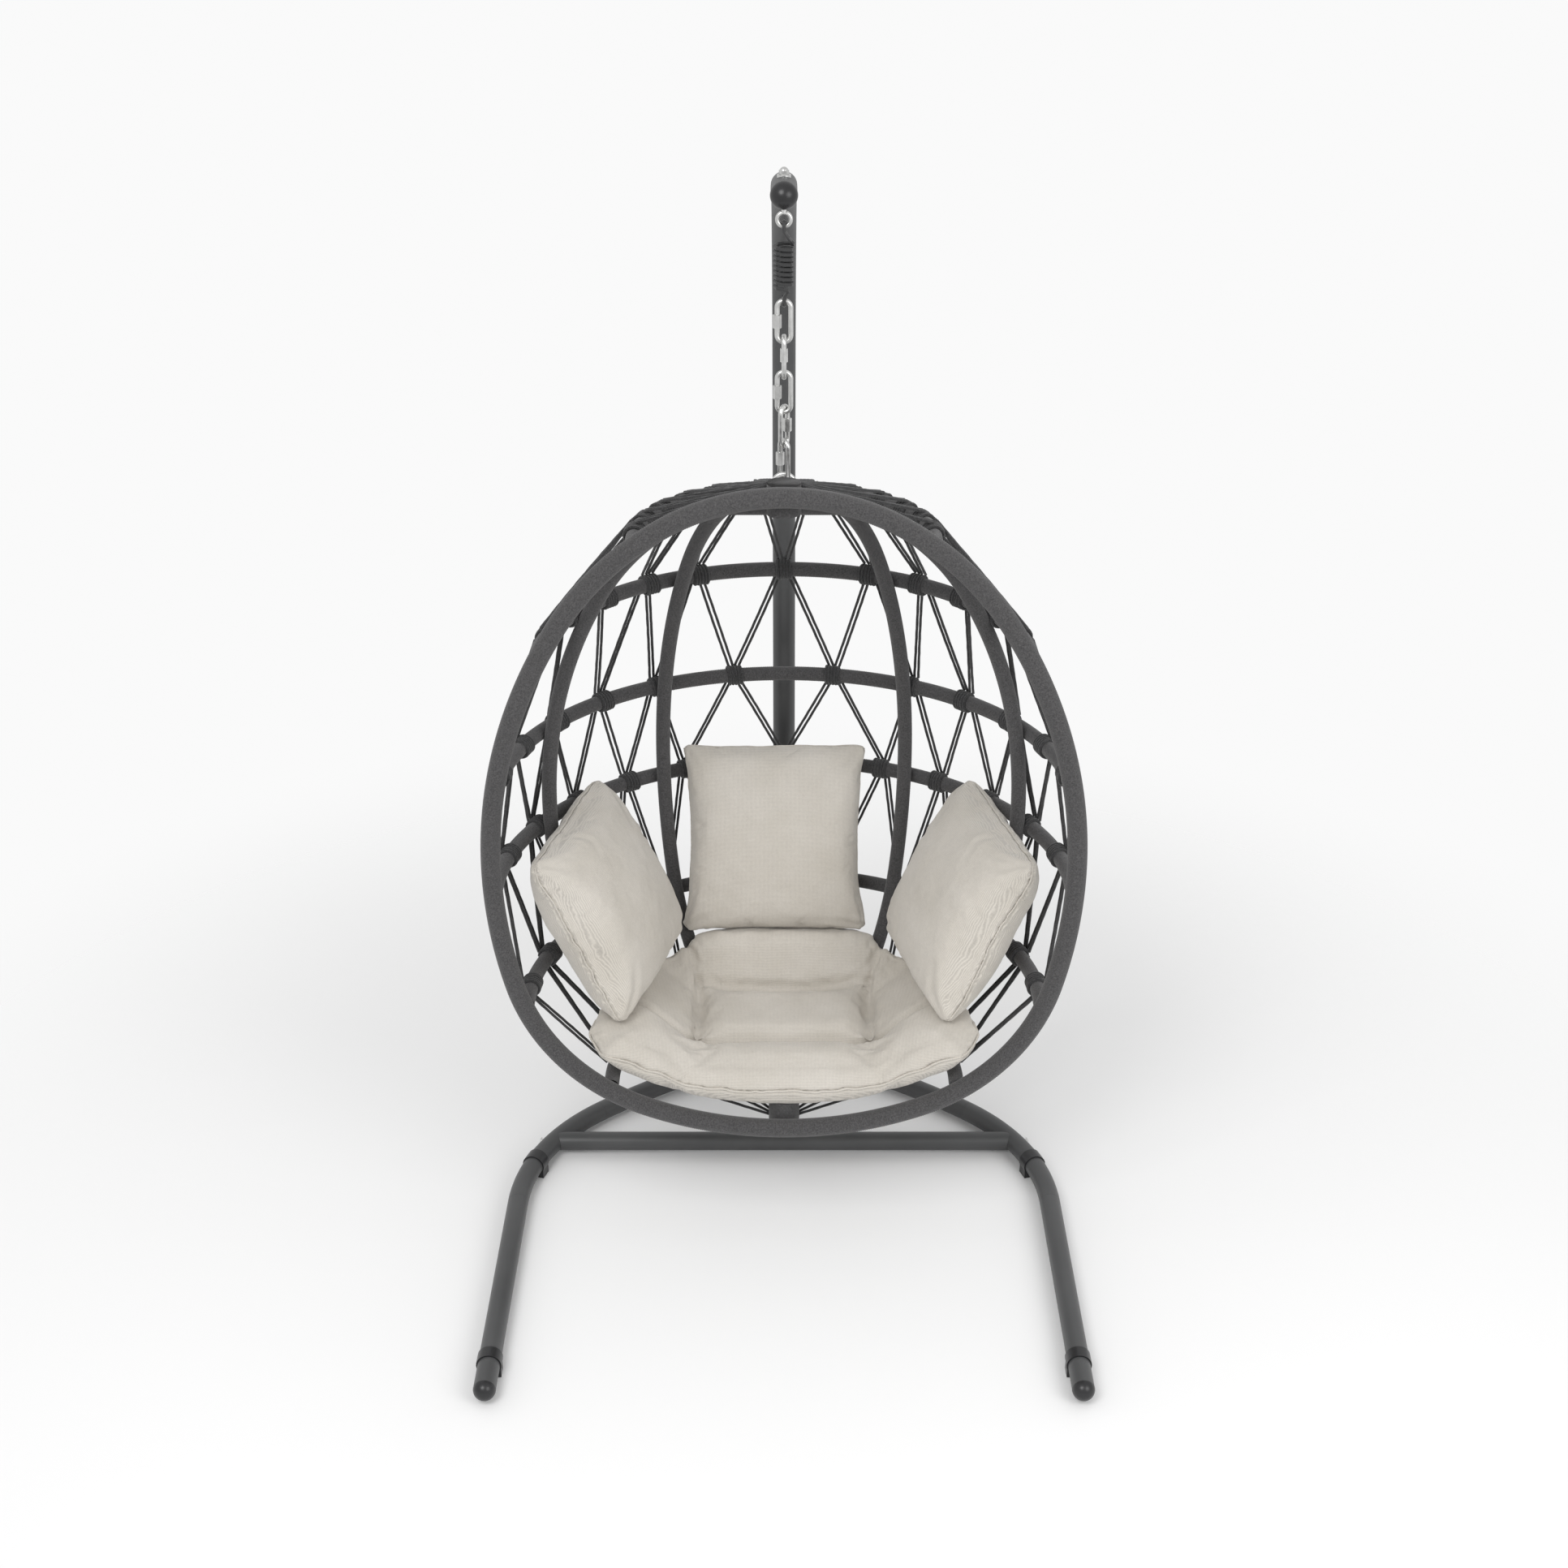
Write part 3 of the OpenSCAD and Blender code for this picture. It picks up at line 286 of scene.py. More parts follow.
BY_SLOT = {"powder_coat": COAT, "basket_steel": COAT, "black_plastic": PLASTIC, "zinc_steel": ZINC,
           "spring_steel": SPRING, "wound_rope": ROPE, "net_cord": CORD, "linen": LINEN}
for sub in frame["record"]["subparts"]:
    o = NODES[sub["node"]]
    o.data.materials.clear()
    o.data.materials.append(BY_SLOT[sub["material_slot"]])


# ---------------------------------------------------------------- mesh helpers
def add_mesh(name, verts, faces, mat, smooth=True):
    me = bpy.data.meshes.new(name)
    me.from_pydata(verts, [], faces)
    me.update()
    bm = bmesh.new()
    bm.from_mesh(me)
    bmesh.ops.recalc_face_normals(bm, faces=bm.faces)
    bm.to_mesh(me)
    bm.free()
    if smooth:
        me.shade_smooth()
    me.materials.append(mat)
    o = bpy.data.objects.new(name, me)
    bpy.context.scene.collection.objects.link(o)
    return o


class Build:
    """Collects several closed tubes into one mesh."""

    def __init__(self):
        self.v, self.f = [], []

    def tube(self, pts, radius, sides=8, twist=0.0, groove=0.0, lobes=3):
        """A round cord along points, its surface grooved by lobes that twist along it."""
        pts = [Vector(p) for p in pts]
        n = len(pts)
        tan = [(pts[min(i + 1, n - 1)] - pts[max(i - 1, 0)]).normalized() for i in range(n)]
        u = tan[0].orthogonal().normalized()
        base, along = len(self.v), 0.0
        for i in range(n):
            u = (u - tan[i] * u.dot(tan[i])).normalized()
            w = tan[i].cross(u)
            along += (pts[i] - pts[i - 1]).length if i else 0.0
            for k in range(sides):
                a = 2 * math.pi * k / sides
                r = radius - groove * (0.5 - 0.5 * math.cos(lobes * a + twist * along))
                self.v.append(pts[i] + (u * math.cos(a) + w * math.sin(a)) * r)
        for i in range(n - 1):
            for k in range(sides):
                a, b = base + i * sides + k, base + i * sides + (k + 1) % sides
                self.f.append((a, b, b + sides, a + sides))
        self.f.append(tuple(base + k for k in reversed(range(sides))))
        self.f.append(tuple(base + (n - 1) * sides + k for k in range(sides)))

    def winding(self, pts, out, across, radius, pitch, depth, sides=16, closed=False):
        """One rope wound along a tube: pts are half a pitch apart, and the turns rise as a helix."""
        n = len(pts)
        base = len(self.v)
        if closed and n % 2:
            raise ValueError("a closed winding needs an even number of rows")
        for i in range(n):
            for k in range(sides):
                a = 2 * math.pi * k / sides
                lag = 2.0 * k / sides
                j, frac = i + int(lag), lag - int(lag)
                if closed:
                    p0, p1 = j % n, (j + 1) % n
                else:
                    p0, p1 = min(j, n - 1), min(j + 1, n - 1)
                p = pts[p0].lerp(pts[p1], frac)
                r = radius if i % 2 == 0 else radius - depth
                o, c = out[p0].lerp(out[p1], frac), across[p0].lerp(across[p1], frac)
                self.v.append(p + (o * math.cos(a) + c * math.sin(a)) * r)
        rows = n if closed else n - 1
        for i in range(rows):
            for k in range(sides):
                a, d = base + i * sides + k, base + ((i + 1) % n) * sides + k
                if k < sides - 1:
                    self.f.append((a, a + 1, d + 1, d))
                elif closed:
                    self.f.append((a, base + ((i + 2) % n) * sides, base + ((i + 3) % n) * sides, d))
                elif i + 3 < n:
                    self.f.append((a, base + (i + 2) * sides, base + (i + 3) * sides, d))
        if not closed:
            # each end of the helix is closed by one face
            self.f.append(tuple([base + k for k in range(sides)] + [base + 2 * sides, base + sides]))
            last = [base + (n - 1) * sides + k for k in range(sides)]
            self.f.append(tuple(last + [base + (n - 1) * sides - 1, base + (n - 2) * sides - 1]))

    def make(self, name, mat):
        return add_mesh(name, self.v, self.f, mat)


def resample(pts, dirs, step, closed=False):
    """Points and directions at equal steps along a fine polyline."""
    p = np.array([list(q) for q in pts])
    d = np.array([list(q) for q in dirs])
    if closed:
        p, d = np.vstack([p, p[:1]]), np.vstack([d, d[:1]])
    seg = np.linalg.norm(np.diff(p, axis=0), axis=1)
    s = np.concatenate([[0], np.cumsum(seg)])
    n = max(4, int(round(s[-1] / step)))
    n += n % 2
    at = np.linspace(0, s[-1], n + 1)[:n] if closed else np.linspace(0, s[-1], n + 1)
    q = np.stack([np.interp(at, s, p[:, k]) for k in range(3)], 1)
    e = np.stack([np.interp(at, s, d[:, k]) for k in range(3)], 1)
    e /= np.linalg.norm(e, axis=1)[:, None]
    return [Vector(x) for x in q], [Vector(x) for x in e]


# distance between two turns of the wound rope, and the depth between them
PITCH, GROOVE = 0.0035, 0.0010


def wind(name, pts, out, radius, replaced, closed=False, sides=16):
    """Rope wound along a tube of the basket, in place of the CAD node's smooth sleeve."""
    pts, out = resample(pts, out, PITCH / 2, closed=closed)
    n = len(pts)
    across = []
    for i in range(n):
        after = (i + 1) % n if closed else min(i + 1, n - 1)
        before = i - 1 if closed else max(i - 1, 0)
        t = (pts[after] - pts[before]).normalized()
        across.append(t.cross(out[i]).normalized())
    b = Build()
    b.winding(pts, out, across, radius, PITCH, GROOVE, sides=sides, closed=closed)
    o = b.make(name, ROPE)
    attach(o, "basket")
    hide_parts(replaced)


# ---------------------------------------------------------------- rim, hoops and ribs: wound rope
side = meridian(0.0, step=0.004)
loop = [(Vector((x, RIM_Y, z)), Vector((nx, 0, nz))) for x, z, nx, nz in side]
loop += [(Vector((-x, RIM_Y, z)), Vector((-nx, 0, nz))) for x, z, nx, nz in reversed(side)][1:-1]
wind("rim_rope", [p for p, _ in loop], [d for _, d in loop], RIM_R, "rim_winding", closed=True, sides=20)

for k, h in enumerate(HOOP_H):
    w, _ = egg(h)
    z = WIDE_Z + h
    pts = []
    # a hoop's straight ends stop just inside the rim's surface
    front = RIM_Y + RIM_R * 0.9
    for x in (1, -1):
        row = [(Vector((x * w, y, z)), Vector((x, 0, 0))) for y in np.linspace(front, AXIS_Y, 12)]
        if x > 0:
            pts += row
            pts += [(Vector((w * math.cos(a), AXIS_Y + w * math.sin(a), z)), Vector((math.cos(a), math.sin(a), 0)))
                    for a in np.linspace(0, math.pi, 160)[1:-1]]
        else:
            pts += list(reversed(row))
    wind(f"hoop_{k}_rope", [p for p, _ in pts], [d for _, d in pts], HOOP_R, f"hoop_winding_{k}")

# an inner rib runs from hub to hub, and an outer one a little past the first and last hoop
RIB_END_R = 0.030
OUTER_PAST = math.radians(3)
inner_rows = meridian(RIB_INSET, -math.acos(RIB_END_R / (LOWER[2][2] - RIB_INSET)),
                      math.acos(RIB_END_R / (UPPER[2][2] - RIB_INSET)), 0.004)
outer_rows = meridian(RIB_INSET, egg(HOOP_H[5])[1] - OUTER_PAST, egg(HOOP_H[0])[1] + OUTER_PAST, 0.004)
for label, sign in (("left", -1), ("right", 1)):
    for which, az, rows in (("inner", RIB_AZ[0], inner_rows), ("outer", RIB_AZ[1], outer_rows)):
        a = math.radians(az * sign)
        radial = Vector((math.sin(a), math.cos(a), 0))
        pts = [at_azimuth(az * sign, x, z) for x, z, _, _ in rows]
        out = [radial * nx + Vector((0, 0, nz)) for _, _, nx, nz in rows]
        wind(f"rib_{which}_{label}_rope", pts, out, HOOP_R, f"rib_winding_{which}_{label}")

lo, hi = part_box("bar_winding")
bar_z = (lo.z + hi.z) / 2
xs = np.linspace(lo.x + 0.004, hi.x - 0.004, 60)
wind("bar_rope", [Vector((x, HANG_Y, bar_z)) for x in xs], [Vector((0, 0, 1))] * 60, HOOP_R, "bar_winding")

# ---------------------------------------------------------------- rope net
# where a cord meets its knot: out from the hoop, aside from the knot's middle, and between a pair's two cords
KNOT_OUT, KNOT_IN, PAIR = 0.014, 0.003, 0.008
HUB_R = 0.0275


def start_along(lean):
    """How far along the outline a cord starts beside its knot."""
    clear = HOOP_R + 2 * CORD_R + 0.0004
    return math.sqrt(clear ** 2 - (KNOT_OUT - CORD_R * math.cos(lean)) ** 2) + CORD_R * math.sin(lean)


def hub_lean(k, h):
    """Angle between the outline at a hoop and a line from there to the rim of a hub."""
    w, n = egg(HOOP_H[k])
    return math.pi / 2 - abs(n) - math.atan(abs(h - HOOP_H[k]) / (w - HUB_R))


def beside(k, az, out, along, across):
    """A point near hoop k: out from its centre line, along the outline upwards, and across to the side."""
    r, n = egg(HOOP_H[k])
    rr = r + out * math.cos(n) - along * math.sin(n)
    z = WIDE_Z + HOOP_H[k] + out * math.sin(n) + along * math.cos(n)
    a = math.radians(az)
    return Vector((rr * math.sin(a) + across * math.cos(a), AXIS_Y + rr * math.cos(a) - across * math.sin(a), z))


def knot(b, k, az, turns=5, seed=0):
    """Turns of cord bound round a hoop at one of the net's knots."""
    w, _ = egg(HOOP_H[k])
    a = math.radians(az)
    centre = Vector((w * math.sin(a), AXIS_Y + w * math.cos(a), WIDE_Z + HOOP_H[k]))
    radial = Vector((math.sin(a), math.cos(a), 0))
    along = Vector((math.cos(a), -math.sin(a), 0))
    rng = np.random.default_rng(1000 + seed)
    pts, steps = [], 22
    lift = rng.uniform(-0.0004, 0.0006, turns + 1)
    for i in range(turns * steps + 1):
        f = i / steps
        t = 2 * math.pi * f
        r = HOOP_R + CORD_R * 0.9 + float(np.interp(f, range(turns + 1), lift))
        # the rope curves with the hoop, so a turn away from the middle leans towards the axis
        s = (f - turns / 2) * CORD_R * 2.02
        pts.append(centre + along * s - radial * (s * s / (2 * w))
                   + (radial * math.cos(t) + Vector((0, 0, 1)) * math.sin(t)) * r)
    b.tube(pts, CORD_R, sides=7)


def cord_path(p, q, sag, rng):
    """A taut cord with its own slight bow."""
    p, q = Vector(p), Vector(q)
    n = max(8, int((q - p).length / 0.012))
    bow = Vector((rng.uniform(-1, 1), rng.uniform(-1, 1), rng.uniform(-1, 1))) * sag
    return [p.lerp(q, i / n) + bow * math.sin(math.pi * i / n) for i in range(n + 1)]


def net_piece(b, name, node_name):
    o = b.make(name, CORD)
    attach(o, "basket")
    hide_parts(node_name)


def laid_cord(b, p, q, sag, rng):
    """One twisted cord, its ends tucked a little into the knots."""
    d = (q - p).normalized() * 0.004
    b.tube(cord_path(p - d, q + d, sag, rng), CORD_R, sides=9, twist=700.0, groove=0.0005)


for band in range(5):
    b = Build()
    rng = np.random.default_rng(40 + band)
    start = start_along((egg(HOOP_H[band])[1] - egg(HOOP_H[band + 1])[1]) / 2)
    for i in range(-KNOTS, KNOTS):
        falls = i % 2 != band % 2
        top, low, turn = (i, i + 1, 1) if falls else (i + 1, i, -1)
        for near, far in ((KNOT_IN, KNOT_IN + PAIR), (KNOT_IN + PAIR, KNOT_IN)):
            laid_cord(b, beside(band, knot_az(top), KNOT_OUT, -start, turn * near),
                      beside(band + 1, knot_az(low), KNOT_OUT, start, -turn * far), 0.0012, rng)
    for i in range(-KNOTS, KNOTS + 1):
        if i % 2 == band % 2:
            knot(b, band + 1, knot_az(i), seed=band * 40 + i)
    net_piece(b, f"net_band_{band}_rope", f"net_band_{band}")


def beside_hub(az, z):
    a = math.radians(az)
    return Vector(((HUB_R + 0.001) * math.sin(a), AXIS_Y + (HUB_R + 0.001) * math.cos(a), z))


b = Build()
rng = np.random.default_rng(77)
lean = hub_lean(5, -FLOOR_H)
for i in range(-KNOTS + 1, KNOTS, 2):
    laid_cord(b, beside(5, knot_az(i), KNOT_OUT, -start_along(lean), 0),
              beside_hub(knot_az(i), WIDE_Z - FLOOR_H - 0.004), 0.001, rng)
net_piece(b, "floor_cords_rope", "floor_cords")

b = Build()
lean = hub_lean(0, CROWN_H)
# a pair of crown cords lies side by side at the hoop and one above the other at the hub
CROWN_ASIDE, STACK = 0.0036, 2 * CORD_R + 0.001
for i in range(-KNOTS, KNOTS + 1, 2):
    for pair in (0, 1):
        az, across, start = knot_az(i), CROWN_ASIDE * (2 * pair - 1), start_along(lean)
        laid_cord(b, beside_hub(az, WIDE_Z + CROWN_H - 0.003 + pair * STACK), beside(0, az, KNOT_OUT, start, across),
                  0.001, rng)
    knot(b, 0, knot_az(i), seed=400 + i)
net_piece(b, "crown_cords_rope", "crown_cords")

for name in ("crown_hub", "bottom_hub"):
    lo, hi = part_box(name)
    zs = np.linspace(lo.z + 0.001, hi.z - 0.001, 40)
    wind(name + "_rope", [Vector((0, AXIS_Y, z)) for z in zs], [Vector((1, 0, 0))] * 40, HUB_R, name, sides=28)


# ---------------------------------------------------------------- cushions
def apply_modifiers(o):
    dg = bpy.context.evaluated_depsgraph_get()
    me = bpy.data.meshes.new_from_object(o.evaluated_get(dg))
    o.modifiers.clear()
    old = o.data
    o.data = me
    bpy.data.meshes.remove(old)


VOXEL, SHRINK = 0.0055, 0.0045
SEAM_GROOVE = (0.0042, 0.0022, 0.0010, 0.0)


def soft_copy(name, node_name):
    """The CAD cushion, remeshed evenly and drawn in a little, ready to be inflated."""
    src = NODES[node_name].data.copy()
    o = bpy.data.objects.new(name, src)
    bpy.context.scene.collection.objects.link(o)
    bm = bmesh.new()
    bm.from_mesh(src)
    bmesh.ops.remove_doubles(bm, verts=bm.verts, dist=1e-5)
    bm.to_mesh(src)
    bm.free()
    r = o.modifiers.new("remesh", "REMESH")
    r.mode, r.voxel_size = "VOXEL", VOXEL
    s = o.modifiers.new("shrink", "DISPLACE")
    s.strength, s.mid_level, s.direction = -SHRINK, 0.0, "NORMAL"
    apply_modifiers(o)
    return o


def coordinates(o):
    co = np.empty(len(o.data.vertices) * 3, np.float32)
    o.data.vertices.foreach_get("co", co)
    return co.reshape(-1, 3).astype(float)


def set_coordinates(o, co):
    o.data.vertices.foreach_set("co", co.astype(np.float32).ravel())
    o.data.update()


def normals_of(o):
    return np.array([list(v.normal) for v in o.data.vertices])


def inflate(o, pressure, frames, cap):
    """Cloth pressure fills the cover; no point moves further than cap."""
    rest = coordinates(o)
    c = o.modifiers.new("cloth", "CLOTH")
    s = c.settings
    s.quality = 5
    s.mass = 0.3
    s.tension_stiffness = s.compression_stiffness = 15.0
    s.shear_stiffness = 5.0
    s.bending_stiffness = 0.4
    s.use_pressure = True
    s.uniform_pressure_force = pressure
    s.effector_weights.gravity = 0.0
    c.point_cache.frame_start, c.point_cache.frame_end = 1, frames
    scene = bpy.context.scene
    for f in range(1, frames + 1):
        scene.frame_set(f)
    apply_modifiers(o)
    scene.frame_set(1)
    d = coordinates(o) - rest
    length = np.linalg.norm(d, axis=1)
    set_coordinates(o, rest + d * (np.minimum(length, cap) / np.maximum(length, 1e-9))[:, None])


def spread(edges, values, keep):
    """Each value mixed with the mean of its neighbours."""
    size = len(values)
    count = np.maximum(np.bincount(edges.ravel(), minlength=size), 1)
    total = (np.bincount(edges[:, 0], values[edges[:, 1]], size)
             + np.bincount(edges[:, 1], values[edges[:, 0]], size))
    return keep * values + (1 - keep) * total / count


# how far a swollen cover is held off its neighbours
HOLD_OFF = 0.0018


def room(o, n, obstacles, reach):
    """How far each point can move along its direction before it meets another piece."""
    co = coordinates(o)
    free = np.full(len(co), reach)
    for other in obstacles:
        me = other.data
        tree = BVHTree.FromPolygons([v.co for v in me.vertices], [p.vertices for p in me.polygons])
        for i in range(len(co)):
            hit = tree.ray_cast(Vector(co[i] + n[i] * 1e-4), Vector(n[i]), reach)
            if hit[3] is not None and hit[3] < free[i]:
                free[i] = hit[3]
    return np.maximum(free - HOLD_OFF, 0.0)


def swell(o, amount, obstacles):
    """Moves points outwards by their amount, less where another piece is in the way."""
    edges = np.array([list(e.vertices) for e in o.data.edges])
    n = normals_of(o)
    for _ in range(14):
        n = np.stack([spread(edges, n[:, k], 0.3) for k in range(3)], 1)
    n /= np.maximum(np.linalg.norm(n, axis=1), 1e-9)[:, None]
    free = room(o, n, obstacles, float(amount.max()) + 0.003)
    for _ in range(3):
        low = free.copy()
        np.minimum.at(low, edges[:, 0], free[edges[:, 1]])
        np.minimum.at(low, edges[:, 1], free[edges[:, 0]])
        free = low
    a = np.minimum(amount, free)
    for _ in range(16):
        a = np.minimum(spread(edges, a, 0.35), free)
    for _ in range(3):
        a = spread(edges, a, 0.4)
    set_coordinates(o, coordinates(o) + n * a[:, None])


def smooth_step(x, lo, hi):
    """A smooth step from 0 at lo to 1 at hi."""
    t = np.clip((x - lo) / (hi - lo), 0, 1)
    return t * t * (3 - 2 * t)


def pieces(*names):
    return [bpy.data.objects[n] for n in names]


def refine(o):
    m = o.modifiers.new("sub", "SUBSURF")
    m.levels = m.render_levels = 1
    apply_modifiers(o)


def unevenness(o, amount, scale, seed):
    """Low, broad unevenness of stuffing and cloth."""
    off = Vector((seed * 3.1, seed * 1.7, seed * 2.3))
    co, n = coordinates(o), normals_of(o)
    f = np.array([noise.fractal(Vector(p) * scale + off, 0.9, 2.1, 4) for p in co])
    set_coordinates(o, co + n * (f * amount)[:, None])


def span(co, p, q):
    """Distance of each point from the segment p-q, and how far along it lies, from 0 to 1."""
    p, q = np.array(p, float), np.array(q, float)
    d = q - p
    t = np.clip(((co - p) @ d) / (d @ d), 0, 1)
    return np.linalg.norm(co - (p + t[:, None] * d), axis=1), t


def groove(o, lines, side=None):
    """Sinks grooves into a cover: each line is (points, width, depth, shoulder, fade at its end)."""
    co, n = coordinates(o), normals_of(o)
    sink = np.zeros(len(co))
    mask = 1.0 if side is None else side(co, n)
    for pts, width, depth, shoulder, fade in lines:
        near, along = np.full(len(co), 9.0), np.zeros(len(co))
        for i in range(len(pts) - 1):
            d, t = span(co, pts[i], pts[i + 1])
            closer = d < near
            near[closer] = d[closer]
            along[closer] = (i + t[closer]) / (len(pts) - 1)
        w = 1.0 - fade * along ** 1.5
        sink += w * (depth * np.exp(-(near / width) ** 2)
                     - shoulder * np.exp(-((near - 2.1 * width) / width) ** 2))
    set_coordinates(o, co - n * (sink * mask)[:, None])


def weave(o, u, v):
    """Flat coordinates for the weave, in millimetres along two directions of the cushion."""
    at = o.data.attributes.new("weave", "FLOAT_VECTOR", "POINT")
    co = coordinates(o) * 1000.0
    vals = np.stack([co @ np.array(u), co @ np.array(v), np.zeros(len(co))], 1)
    at.data.foreach_set("vector", vals.astype(np.float32).ravel())


def equator(co, centre, u, v, n=260):
    """The outermost ring of points of a cover round its thickness axis, evened out."""
    d = co - centre
    x, y = d @ u, d @ v
    r, a = np.hypot(x, y), np.arctan2(y, x)
    ring = []
    for k in range(n):
        b = -math.pi + 2 * math.pi * (k + 0.5) / n
        inside = np.where(np.abs(a - b) < 1.6 * math.pi / n)[0]
        if len(inside):
            best = inside[np.argsort(r[inside])[-3:]]
            ring.append(co[best].mean(0))
    ring = np.array(ring)
    for _ in range(2):
        ring = 0.25 * np.roll(ring, 1, 0) + 0.5 * ring + 0.25 * np.roll(ring, -1, 0)
    return ring


def welt(name, ring, radius):
    """The raised seam where the two halves of a cover are sewn together."""
    b = Build()
    closed = [Vector(p) for p in ring] + [Vector(ring[0]), Vector(ring[1])]
    b.tube(closed, radius, sides=8, twist=2600.0, groove=radius * 0.12, lobes=2)
    o = b.make(name, LINEN)
    weave(o, (0.7, 0.7, 0), (0, 0.3, 1))
    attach(o, "basket")


def seam_puckers(ring, centre, count, rng, length, depth):
    """Short tucks that run from the seam towards the middle of each face."""
    lines = []
    for k in range(count):
        i = int((k + rng.uniform(0.1, 0.9)) / count * len(ring)) % len(ring)
        p = ring[i]
        inward = (centre - p) / np.linalg.norm(centre - p)
        turn = rng.normal(size=3) * 0.25
        d = inward + turn
        d /= np.linalg.norm(d)
        far = length * rng.uniform(0.5, 1.3)
        lines.append(([p, p + d * far], rng.uniform(0.0022, 0.0036), depth * rng.uniform(0.5, 1.2),
                      depth * 0.35, 1.0))
    return lines


def finish_cushion(o, u, v, node_name):
    o.data.materials.clear()
    o.data.materials.append(LINEN)
    o.data.shade_smooth()
    weave(o, u, v)
    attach(o, "basket")
    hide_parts(node_name)


def turned(*turns):
    """The rotation made by turns about the z, y or x axis, the first one applied last."""
    m = Matrix.Identity(3)
    for axis, angle in turns:
        m = m @ Matrix.Rotation(math.radians(angle), 3, axis)
    return m


def make_pillow(name, node_name, centre, m, mirrored, size, seed, folds, bow, puff, near):
    """A scatter cushion. Folds are given in its own plane as fractions of its half sizes, bow is how far its
    sides stand out in the middle, and puff how far its back and its face swell towards the pieces near it."""
    flip = np.array([-1.0, 1.0, 1.0]) if mirrored else np.ones(3)
    centre = np.array(centre) * flip
    u, v, t = (np.array(m.col[k]) * flip for k in range(3))
    o = soft_copy(name, node_name)
    inflate(o, 3.5, 16, 0.012)
    refine(o)
    w, l, thick = size
    # the corners are rounded off, and the sides stand out a little between them
    co = coordinates(o)
    a, b = (co - centre) @ u / (w / 2), (co - centre) @ v / (l / 2)
    corner = np.maximum((np.abs(a) ** 7 + np.abs(b) ** 7) ** (1 / 7), 1.0) ** -0.8
    da = a * (corner * (1 + bow[0] * (1 - b * b) * a * a) - 1)
    db = b * (corner * (1 + bow[1] * (1 - a * a) * b * b) - 1)
    set_coordinates(o, co + np.outer(da * w / 2, u) + np.outer(db * l / 2, v))
    co = coordinates(o)
    a, b, c = (co - centre) @ u / (w / 2), (co - centre) @ v / (l / 2), (co - centre) @ t
    full = np.sqrt(np.clip(1 - np.abs(a) ** 6, 0, 1) * np.clip(1 - np.abs(b) ** 6, 0, 1))
    swell(o, full * np.where(c < 0, puff[0], puff[1]), pieces(*near))
    unevenness(o, 0.0026, 11.0, seed)
    rng = np.random.default_rng(seed)
    ring = equator(coordinates(o), centre, u, v)
    groove(o, seam_puckers(ring, centre, 34, rng, 0.030, 0.0013))

    def on_face(a, b):
        edge = max(0.0, (1 - a * a) * (1 - b * b)) ** 0.42
        return centre + u * (a * w / 2) + v * (b * l / 2) + t * (thick / 2 * edge)

    groove(o, [([on_face(*q) for q in pts], width, depth, depth * 0.45, 0.8) for pts, width, depth in folds])
    groove(o, [(list(ring) + [ring[0]], *SEAM_GROOVE)])
    finish_cushion(o, u, v, node_name)
    welt(name.replace("_cover", "_welt"), ring, 0.0019)


SIDE_TURN = turned(("Z", 17.5), ("Y", -65.2), ("Z", 85.8))
SIDE_CENTRE = (0.3109, HANG_Y - 0.0204, 0.6171)
BACK_FOLDS = [
    ([(-0.93, -0.93), (-0.72, -0.80), (-0.50, -0.72)], 0.006, 0.0035),
    ([(-0.95, -0.90), (-0.86, -0.66), (-0.80, -0.42)], 0.006, 0.0030),
    ([(0.93, -0.93), (0.70, -0.84), (0.42, -0.80)], 0.006, 0.0032),
    ([(0.94, -0.90), (0.88, -0.60), (0.86, -0.30)], 0.006, 0.0030),
    ([(-0.93, 0.93), (-0.78, 0.72), (-0.70, 0.45)], 0.007, 0.0030),
    ([(0.93, 0.93), (0.74, 0.78), (0.50, 0.70)], 0.007, 0.0030),
    ([(0.96, 0.05), (0.80, 0.02), (0.62, 0.06)], 0.006, 0.0022),
    ([(-0.96, 0.22), (-0.82, 0.16), (-0.64, 0.18)], 0.006, 0.0022),
]
SIDE_FOLDS = [
    ([(-0.93, -0.93), (-0.74, -0.76), (-0.50, -0.66)], 0.007, 0.0035),
    ([(-0.90, -0.95), (-0.62, -0.82), (-0.36, -0.80)], 0.006, 0.0028),
    ([(0.93, -0.93), (0.74, -0.76), (0.56, -0.54)], 0.007, 0.0035),
    ([(0.95, -0.35), (0.76, -0.30), (0.55, -0.36)], 0.007, 0.0040),
    ([(0.93, 0.93), (0.72, 0.80), (0.46, 0.74)], 0.007, 0.0036),
    ([(-0.93, 0.93), (-0.76, 0.74), (-0.68, 0.48)], 0.007, 0.0034),
    ([(0.20, 0.95), (0.16, 0.78), (0.22, 0.60)], 0.006, 0.0024),
    ([(-0.30, -0.95), (-0.26, -0.78), (-0.34, -0.62)], 0.006, 0.0022),
]
make_pillow("back_pillow_cover", "back_pillow", (-0.018, HANG_Y + 0.1972, 0.6287), turned(("X", 71.0)), False,
            (0.362, 0.366, 0.120), 1, BACK_FOLDS, (0.03, 0.075), (0.006, 0.006),
            ("rib_inner_left_rope", "rib_inner_right_rope", "hoop_2_rope", "hoop_3_rope", "net_band_2_rope"))
for label, mirrored, seed in (("left", True, 2), ("right", False, 3)):
    make_pillow(label + "_pillow_cover", "pillow_" + label, SIDE_CENTRE, SIDE_TURN, mirrored, (0.330, 0.345, 0.146),
                seed, SIDE_FOLDS, (0.03, 0.03), (0.016, 0.004),
                (f"rib_outer_{label}_rope", f"rib_inner_{label}_rope", "hoop_2_rope", "hoop_3_rope", "hoop_4_rope",
                 "net_band_1_rope", "net_band_2_rope", "net_band_3_rope", "back_pillow_cover"))

